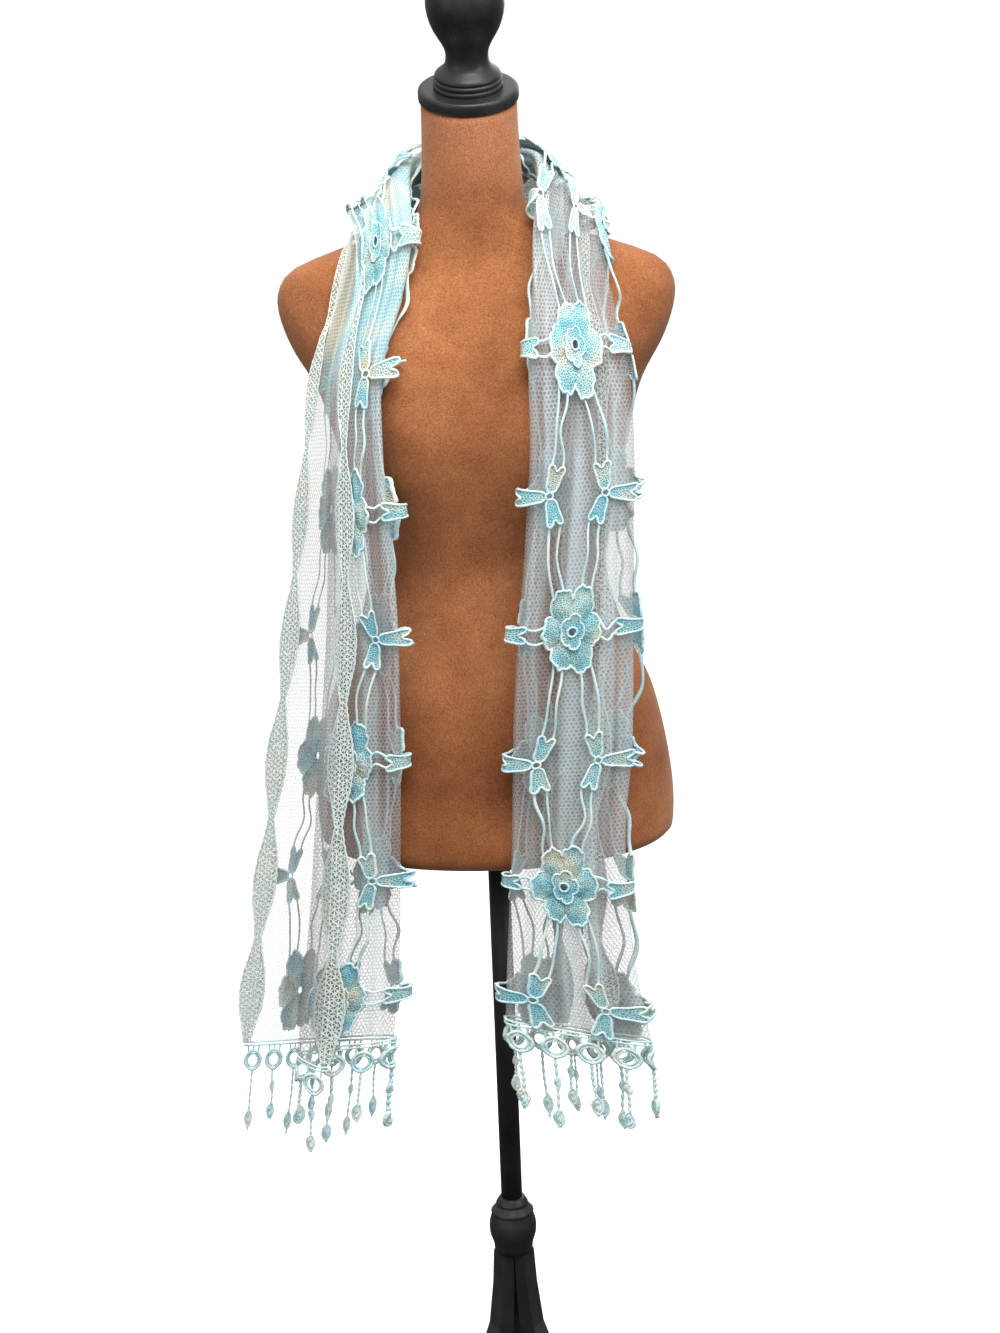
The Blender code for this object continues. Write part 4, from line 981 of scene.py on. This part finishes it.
def petal_lift(motif, turn, share):
    """Petals are domed along their middles, sink between each other, and curl at the tips."""
    lobe = abs(math.cos(PETALS / 2 * turn))
    number = round(turn / math.tau * PETALS) % PETALS
    curl = motif["curls"][number]
    dome = 0.0018 * math.sin(math.pi * min(share, 1.0)) * (0.35 + 0.65 * lobe)
    ribs = 0.0004 * math.sin(30 * turn) * math.sin(math.pi * min(share, 1.0))
    rings = 0.0005 * math.sin(13 * share + 2 * math.sin(3 * turn))
    return dome + ribs + rings + curl * share**3 * lobe - 0.0009 * share * (1 - lobe)


def disc(motif, size, lobes, depth, base, lift, rings=9, hole=0.10):
    """A scalloped plate with a hole at its middle, drawn flat."""
    bm = bmesh.new()
    bmesh.ops.create_circle(bm, segments=FLOWER_SIDES, radius=1)
    edges = bm.edges[:]
    for ring in range(rings, -1, -1):
        share = hole + (1 - hole) * ring / rings
        loop = {point for edge in edges for point in edge.verts}
        for point in loop:
            turn = math.atan2(point.co.y, point.co.x)
            point.co = (math.cos(turn), math.sin(turn), share)
        if ring > 0:
            grown = bmesh.ops.extrude_edge_only(bm, edges=edges)["geom"]
            edges = [item for item in grown if isinstance(item, bmesh.types.BMEdge)]
            edges = [edge for edge in edges if len(edge.link_faces) == 1]
    for point in bm.verts:
        turn = math.atan2(point.co.y, point.co.x)
        share = point.co.z
        scallop = petal_reach(motif, turn, lobes, depth)
        reach = size * share * (1 + (scallop - 1) * share**0.7)
        u, v = flower_place(motif, turn, reach)
        point.co = (u, v, base + lift(turn, share))
    bmesh.ops.recalc_face_normals(bm, faces=bm.faces)
    if bm.faces[:][0].normal.z < 0:
        bmesh.ops.reverse_faces(bm, faces=bm.faces)
    return mesh_from(bm, "disc")


def scalloped_line(motif, size, lobes, depth, base, lift, count):
    """The edge of such a plate, as a closed path."""
    path = []
    for i in range(count):
        turn = math.tau * i / count - math.pi
        place = flower_place(motif, turn, size * petal_reach(motif, turn, lobes, depth))
        path.append((*place, base + lift(turn, 1.0)))
    return path


def flower_pieces(motif):
    """The filled plates, then the outline cords, of one flower."""
    motif["curls"] = [DICE.uniform(0.0002, 0.0030) for _ in range(PETALS)]
    motif["sizes"] = [DICE.uniform(0.86, 1.08) for _ in range(PETALS)]
    high = lace_height(motif["at"].y)

    def outer_lift(turn, share):
        return petal_lift(motif, turn, share)

    def inner_lift(turn, share):
        return 0.0010 + 0.0008 * share * abs(math.cos(2.5 * turn))

    outer = (motif, 1.0, PETALS, 0.30, high, outer_lift)
    inner = (motif, 0.40, 5, 0.28, high + 0.0012, inner_lift)
    plates = [disc(*outer), disc(*inner, rings=4, hole=0.22)]
    heart = small_ring(motif["at"], 0.0042, 0.0046, high + 0.0030, 20)
    return plates, (scalloped_line(*outer, 132), scalloped_line(*inner, 50), heart)


# %% [markdown]
# ## Connectors
#
# A connector is three forked leaves round a small ringed hole. Each leaf is drawn as an
# outline, filled, and drawn in once so that its middle can stand a little proud.

# %% The outline of one leaf, from the hole out to its two rounded tips
LEAF = (
    (0.0034, 0.0018), (0.0062, 0.0044), (0.0100, 0.0053), (0.0140, 0.0058), (0.0182, 0.0064),
    (0.0222, 0.0073), (0.0256, 0.0080), (0.0280, 0.0077), (0.0290, 0.0058), (0.0284, 0.0038),
    (0.0262, 0.0022), (0.0238, 0.0010),
)
LEAF_LENGTH = 0.0262


def arm_axes(motif, angle):
    """The way along an arm and the way across it."""
    turn = math.radians(angle + motif["turn"])
    along = Vector((math.cos(turn), math.sin(turn)))
    return along, Vector((-along.y, along.x))


def leaf_outline(motif, angle, length):
    scale = length / LEAF_LENGTH
    along, across = arm_axes(motif, angle)
    sides = [(reach * scale, half) for reach, half in LEAF]
    sides += [(reach * scale, -half) for reach, half in reversed(LEAF)]
    return [motif["at"] + along * reach + across * half for reach, half in sides]


def connector_pieces(motif):
    high = lace_height(motif["at"].y)
    side = motif["side"]
    angles = (0, 105, 255) if side > 0 else (180, 285, 75)
    plates, outlines = [], []
    outer = motif.get("outer", False)
    for angle in angles:
        length = 0.0190 if outer and angle in (0, 180) else 0.0255
        shape = leaf_outline(motif, angle, length)
        tip_lift = DICE.uniform(0.0, 0.0022)
        bm = bmesh.new()
        face = bm.faces.new([bm.verts.new((p.x, p.y, 0)) for p in shape])
        bmesh.ops.inset_region(bm, faces=[face], thickness=0.0014, depth=0)
        bmesh.ops.triangulate(bm, faces=bm.faces)
        bmesh.ops.subdivide_edges(bm, edges=bm.edges, cuts=1, use_grid_fill=True)
        bm.normal_update()
        if bm.faces[:][0].normal.z < 0:
            bmesh.ops.reverse_faces(bm, faces=bm.faces)
        for point in bm.verts:
            far = (point.co.xy - motif["at"]).length / LEAF_LENGTH
            point.co.z = high + 0.0006 * math.sin(math.pi * min(far, 1)) + tip_lift * far * far
        plates.append(mesh_from(bm, "leaf"))
        path = []
        for p in shape:
            far = (p - motif["at"]).length / LEAF_LENGTH
            path.append((p.x, p.y, high + 0.0002 + tip_lift * far * far))
        outlines.append(path)
    return plates, outlines, small_ring(motif["at"], 0.0034, 0.0034, high + 0.0006, 18)


# %% [markdown]
# ## Cords
#
# The loose cords run in pairs from a leaf's two tips to one petal, with some slack, so they
# stray a little sideways and stand off the net in the middle.

# %% Cords between a connector and a flower
CORD_LINKS = {
    "link_1": ("flower_m", 240, 120),
    "link_2": ("flower_m", 300, 60),
    "link_a_out": ("flower_a", 240, 120),
    "link_a_in": ("flower_a", 300, 60),
    "link_b_in": ("flower_b", 240, 120),
    "link_b_out": ("flower_b", 300, 60),
}
LEVEL_LINKS = {
    "link_1": ("flower_a", 0),
    "link_2": ("flower_b", 180),
    "link_a_in": ("flower_m", 180),
    "link_b_in": ("flower_m", 0),
}


def slack_cord(start, end, sway, lift, steps=18):
    """A cord between two flat points (u, v, w) that strays sideways and stands off the net."""
    run = Vector(end) - Vector(start)
    side = Vector((-run.y, run.x, 0)).normalized()
    path = []
    for i in range(steps + 1):
        t = i / steps
        bow = math.sin(math.pi * t) * sway + math.sin(3 * math.pi * t) * (0.0008 - sway * 0.25)
        point = Vector(start) + run * t + side * bow
        point.z += lift * math.sin(math.pi * t) ** 2
        path.append(tuple(point))
    return path


def arm_tips(connector, angle):
    along, across = arm_axes(connector, angle)
    return [connector["at"] + along * 0.0270 + across * s * 0.0056 for s in (-1, 1)]


def petal_tips(flower, petal):
    spread = 0.20
    turn = math.radians(petal)
    reach = 0.93 * flower["sizes"][round(petal / 360 * PETALS) % PETALS]
    return [Vector(flower_place(flower, turn + s * spread, reach)) for s in (1, -1)]


def paired_cords(connector, angle, flower, petal, steps):
    paths = []
    sway = DICE.uniform(-0.0055, 0.0055)
    for a, b in zip(arm_tips(connector, angle), petal_tips(flower, petal)):
        lift = DICE.uniform(0.0005, 0.0050)
        own_sway = sway + DICE.uniform(-0.0024, 0.0024)
        paths.append(slack_cord((*a, lace_height(a.y)), (*b, lace_height(b.y)), own_sway, lift, steps))
    return paths


def all_cords():
    paths = []
    for number, row in enumerate(ROWS):
        for name, motif in row.items():
            if name in CORD_LINKS:
                flower_name, above, below = CORD_LINKS[name]
                lean = 15 * motif["side"]
                for step, petal, way in ((1, above, 90 + lean), (-1, below, 270 - lean)):
                    other = number + step
                    if 0 <= other < len(ROWS):
                        paths += paired_cords(motif, way, ROWS[other][flower_name], petal, 18)
            if name in LEVEL_LINKS:
                flower_name, petal = LEVEL_LINKS[name]
                angle = 0 if motif["side"] > 0 else 180
                paths += paired_cords(motif, angle, row[flower_name], petal, 8)
    return paths


# %% Making the lace
def make_lace():
    plates, leaves, outlines, fine, leaf_lines, rings = [], [], [], [], [], []
    for row in ROWS:
        for name, motif in row.items():
            if motif["kind"] == "flower":
                made, lines = flower_pieces(motif)
                plates += made
                outlines.append(lines[0])
                fine += lines[1:]
            else:
                motif["outer"] = name.endswith("out")
                made, lines, ring = connector_pieces(motif)
                leaves += made
                leaf_lines += lines
                rings.append(ring)
    fill = wear(joined(plates + leaves, "lace_fill"))
    lace = add_piece(
        "lace_motifs", fill, FLOWER_MESH, ("lace_left", "lace_neck", "lace_right")
    )
    lines = [
        cords_mesh(knobbly(outlines), 0.00135, closed=True),
        cords_mesh(knobbly(fine + rings), 0.0010, closed=True),
        cords_mesh(knobbly(leaf_lines), 0.00120, closed=True),
    ]
    outline = add_piece("lace_outlines", wear(joined(lines, "lines")), CORD_THREAD)
    cords = add_piece("lace_cords", wear(cords_mesh(all_cords(), 0.00130)), CORD_THREAD)
    return [lace, outline, cords]


lace_pieces = make_lace()

# %% [markdown]
# ## The edging
#
# A chain of mesh lozenges runs down each long edge, one beside each row of the lace. Each is
# a strip of grid whose width swells and narrows, with a cord along both of its sides.

# %% Widths of the chain
LOZENGE = ((0.0, 0.0042), (0.15, 0.0078), (0.32, 0.0138), (0.5, 0.0160), (0.68, 0.0138), (0.85, 0.0078))
EDGING_STEPS = 640
# How much narrower chain B gets where it is gathered up, and how far it moves in there
GATHERING, TUCK = 0.85, 0.011
NECKS = [0.001] + [(a + b) / 2 for a, b in zip(ROW_PLACES, ROW_PLACES[1:])] + [LENGTH - 0.001]


def folded_in(name, v):
    """1 where chain B is gathered up and lies on the net, on the way over the left shoulder."""
    if name != "edging_b":
        return 0.0
    return float(np.interp(v, (AT[7], AT[9], AT[12], AT[13]), (0, 1, 1, 0)))


def chain_width(name, v):
    i = max(0, min(len(NECKS) - 2, int(np.searchsorted(NECKS, v)) - 1))
    share = (v - NECKS[i]) / (NECKS[i + 1] - NECKS[i])
    places = [row[0] for row in LOZENGE] + [1.0]
    halves = [row[1] for row in LOZENGE] + [LOZENGE[0][1]]
    return float(np.interp(share, places, halves)) * (1 - GATHERING * folded_in(name, v))


def edging_side(name, v):
    """1 where a chain lies on the right side of the cloth. On the left front chain A lies on the
    other side, and it changes sides at a neck, where it is clear of the net's edge."""
    if name != "edging_a":
        return 1.0
    turn = NECKS[6]
    return float(np.interp(v, (turn - 0.012, turn + 0.012), (-1, 1)))


def make_edging(name, centre, lifts, replaced):
    """A strip of grid, and a cord along both its sides. lifts is its extra height at the shoulders."""
    length = NECKS[-1] - NECKS[0]

    def chain_point(v, across, rise):
        middle = centre - TUCK * folded_in(name, v)
        return middle + across, v, (rise + lifts * over_shoulders(v)) * edging_side(name, v)

    bm = bmesh.new()
    bmesh.ops.create_grid(bm, x_segments=6, y_segments=EDGING_STEPS, size=0.5)
    bmesh.ops.translate(bm, verts=bm.verts, vec=(0, 0.5, 0))
    for point in bm.verts:
        v = NECKS[0] + point.co.y * length
        share = point.co.x * 2
        rise = LACE_HEIGHT + 0.0006 * (1 - share * share)
        point.co = chain_point(v, share * chain_width(name, v), rise)
    strip = add_piece(name, wear(mesh_from(bm, name)), LOZENGE_MESH, replaced)
    sides = []
    for side in (-1, 1):
        path = []
        for i in range(EDGING_STEPS + 1):
            v = NECKS[0] + length * i / EDGING_STEPS
            scallop = 0.0006 * math.sin(math.tau * v / 0.0075)
            path.append(chain_point(v, side * (chain_width(name, v) + scallop), 0.0035))
        sides.append(path)
    cord = add_piece(name + "_cord", wear(cords_mesh(sides, 0.0011)), EDGE_THREAD)
    return [strip, cord]


edging = make_edging("edging_a", -0.006, 0.0006, ("edging_a_left", "edging_a_neck", "edging_a_right"))
edging += make_edging(
    "edging_b", CUT_WIDTH + 0.006, 0.0026, ("edging_b_left", "edging_b_neck", "edging_b_right")
)

# %% [markdown]
# ## The trim at the hems
#
# Each hem has a double header cord with short bars, a row of large rings that touch, and a
# knobby strand with a small leaf at its tip below every ring.

# %% Rings, bars and strands
RING_COUNT = 12
TRIM_FIRST = -0.010
TRIM_WIDTH = CUT_WIDTH + 0.020
TRIM_PITCH = TRIM_WIDTH / RING_COUNT
# Distances from the hem: the header's two cords, the bars' ends, the rings' middle, the strands' top
HEADER_CORDS = (0.0006, 0.0042)
BAR_FOOT = 0.0125
RING_MIDDLE = 0.0200
STRAND_TOP = 0.0305
STRAND_LENGTHS = (0.066, 0.054, 0.072, 0.048, 0.061, 0.076, 0.057)


def ring_path(u, v, half_u, half_v, point, steps=28):
    """A ring that is drawn out a little towards its top and foot."""
    path = []
    for i in range(steps):
        turn = math.tau * i / steps
        stretch = 1 + point * abs(math.sin(turn)) ** 6
        path.append((u + half_u * math.cos(turn), v + half_v * stretch * math.sin(turn), 0))
    return path


def leaf_ring(u, v, half_u, half_v, steps=22):
    """A ring drawn out to a point at its top and foot, as the small leaves on the strands are."""
    path = []
    for i in range(steps):
        turn = math.tau * i / steps
        side = math.cos(turn) * (1 - 0.55 * abs(math.sin(turn)) ** 3)
        path.append((u + half_u * side, v + half_v * math.sin(turn), 0.0006 * math.sin(2 * turn)))
    return path


def make_trim(name, hem, way, replaced):
    closed, fine, thick, bars, leaves = [], [], [], [], []
    header = [TRIM_FIRST + TRIM_WIDTH * i / 110 for i in range(111)]
    top, foot = hem + way * HEADER_CORDS[1], hem + way * BAR_FOOT
    for depth in HEADER_CORDS:
        bars.append([(u, hem + way * depth, 0.0003 * math.sin(u * 900)) for u in header])
    for number in range(RING_COUNT):
        u = TRIM_FIRST + TRIM_PITCH * (number + 0.5)
        centre = hem + way * RING_MIDDLE
        tilt = 0.0008 * math.sin(5.1 * number)
        closed.append(ring_path(u, centre, 0.0098, 0.0092, 0.14))
        fine.append(ring_path(u, centre, 0.0068, 0.0066, 0.05))
        for shift in (-0.006, 0.006):
            halfway = (u + shift * 1.1, (top + foot) / 2, 0)
            bars.append([(u + shift * 1.15, top, 0), halfway, (u + shift, foot, 0)])
        bars.append([(u, top, 0), (u, hem + way * 0.0100, 0)])
        length = STRAND_LENGTHS[number % len(STRAND_LENGTHS)]
        start = hem + way * STRAND_TOP
        strand = []
        steps = 40
        for i in range(steps + 1):
            t = i / steps
            sway = 0.0022 * math.sin(2.4 * number) * t + tilt * math.sin(7 * t + number)
            knob = 0.60 + 0.60 * abs(math.sin(math.pi * t * 9 + number)) ** 2
            strand.append((u + sway, start + way * length * t, 0, knob))
        thick.append(strand)
        for share, size in ((0.36, 0.0052), (0.86, 0.0088)) if number % 2 else ((0.82, 0.0095),):
            spot = strand[int(steps * share)]
            leaves.append(leaf_ring(spot[0], spot[1], size * 0.42, size))
            leaves.append(leaf_ring(spot[0], spot[1], size * 0.20, size * 0.62))
    meshes = [
        cords_mesh(knobbly(closed), 0.0018, closed=True),
        cords_mesh(knobbly(fine), 0.0012, closed=True),
        cords_mesh(knobbly(leaves), 0.0012, closed=True),
        cords_mesh(bars, 0.0011),
        cords_mesh(thick, 0.0014),
    ]
    return add_piece(name, wear(joined(meshes, name)), CORD_THREAD, replaced)


trims = [
    make_trim("hem_trim_left", 0.0, -1, ("trim_left",)),
    make_trim("hem_trim_right", LENGTH, 1, ("trim_right",)),
]

# %% [markdown]
# The net is a sheet of cloth of a known cut, and the lace, edging and trims are sewn to it.

# %% [markdown]
# ## The studio
#
# Five soft lamps: the strongest is above and in front, a weaker one stands on the right, and three
# more fill in from the left, the front and behind. The chest is bright, and the waist lies in shade,
# which painted shade in the suede deepens on the lower body.
# The surround is white from above and dim from below, over a plain pale floor.


# %% Floor, lamps and surround
def make_floor():
    """A plain pale floor that glows a little, and sends no light up to the object."""
    bm = bmesh.new()
    bmesh.ops.create_grid(bm, x_segments=2, y_segments=2, size=150)
    floor = new_object("floor", mesh_from(bm, "floor"))
    finish = Finish("pale_floor")
    finish.set(Base_Color=(0.93, 0.93, 0.92, 1), Roughness=0.9, Specular_IOR_Level=0.0)
    finish.set(Emission_Color=(1, 1, 1, 1), Emission_Strength=0.24)
    floor.data.materials.append(finish.material)
    floor.visible_diffuse = False
    floor.visible_glossy = False
    floor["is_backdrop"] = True


def make_lamp(name, place, target, size, power):
    light = bpy.data.lights.new(name, "AREA")
    light.size = size
    light.energy = power
    lamp = new_object(name, light)
    lamp.location = place
    lamp.rotation_euler = (Vector(target) - Vector(place)).to_track_quat("-Z", "Y").to_euler()


def make_surround():
    """The light is white from above and dim from below, and the camera sees plain white."""
    world = bpy.data.worlds.new("studio")
    world.use_nodes = True
    tree = world.node_tree
    place = tree.nodes.new("ShaderNodeTexCoord")
    split = tree.nodes.new("ShaderNodeSeparateXYZ")
    fade = tree.nodes.new("ShaderNodeMapRange")
    fade.inputs["From Min"].default_value = -0.3
    fade.inputs["From Max"].default_value = 0.7
    fade.inputs["To Min"].default_value = 0.10
    fade.inputs["To Max"].default_value = 0.98
    tree.links.new(place.outputs["Generated"], split.inputs[0])
    tree.links.new(split.outputs["Z"], fade.inputs["Value"])
    seen = tree.nodes.new("ShaderNodeLightPath")
    strength = tree.nodes.new("ShaderNodeMath")
    strength.operation = "MAXIMUM"
    tree.links.new(fade.outputs["Result"], strength.inputs[0])
    tree.links.new(seen.outputs["Is Camera Ray"], strength.inputs[1])
    tree.links.new(strength.outputs[0], tree.nodes["Background"].inputs[1])
    tree.nodes["Background"].inputs[0].default_value = (1, 1, 1, 1)
    bpy.context.scene.world = world


make_floor()
make_lamp("ceiling", (0.25, -0.90, 2.75), (0, 0, 1.1), 1.2, 44)
make_lamp("right", (2.3, -1.5, 2.2), (0, 0, 1.1), 1.4, 27)
make_lamp("left", (-2.2, -1.8, 1.5), (-0.1, 0, 1.0), 1.6, 13)
make_lamp("front", (-0.5, -3.2, 0.8), (0, 0, 0.9), 1.8, 8)
make_lamp("behind", (0.8, 2.6, 2.2), (0, 0, 1.0), 1.8, 22)
make_surround()
bpy.context.scene.view_settings.view_transform = "Standard"

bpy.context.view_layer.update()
total = sum(len(p.vertices) - 2 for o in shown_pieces() for p in o.data.polygons)
print("triangles in all:", total)
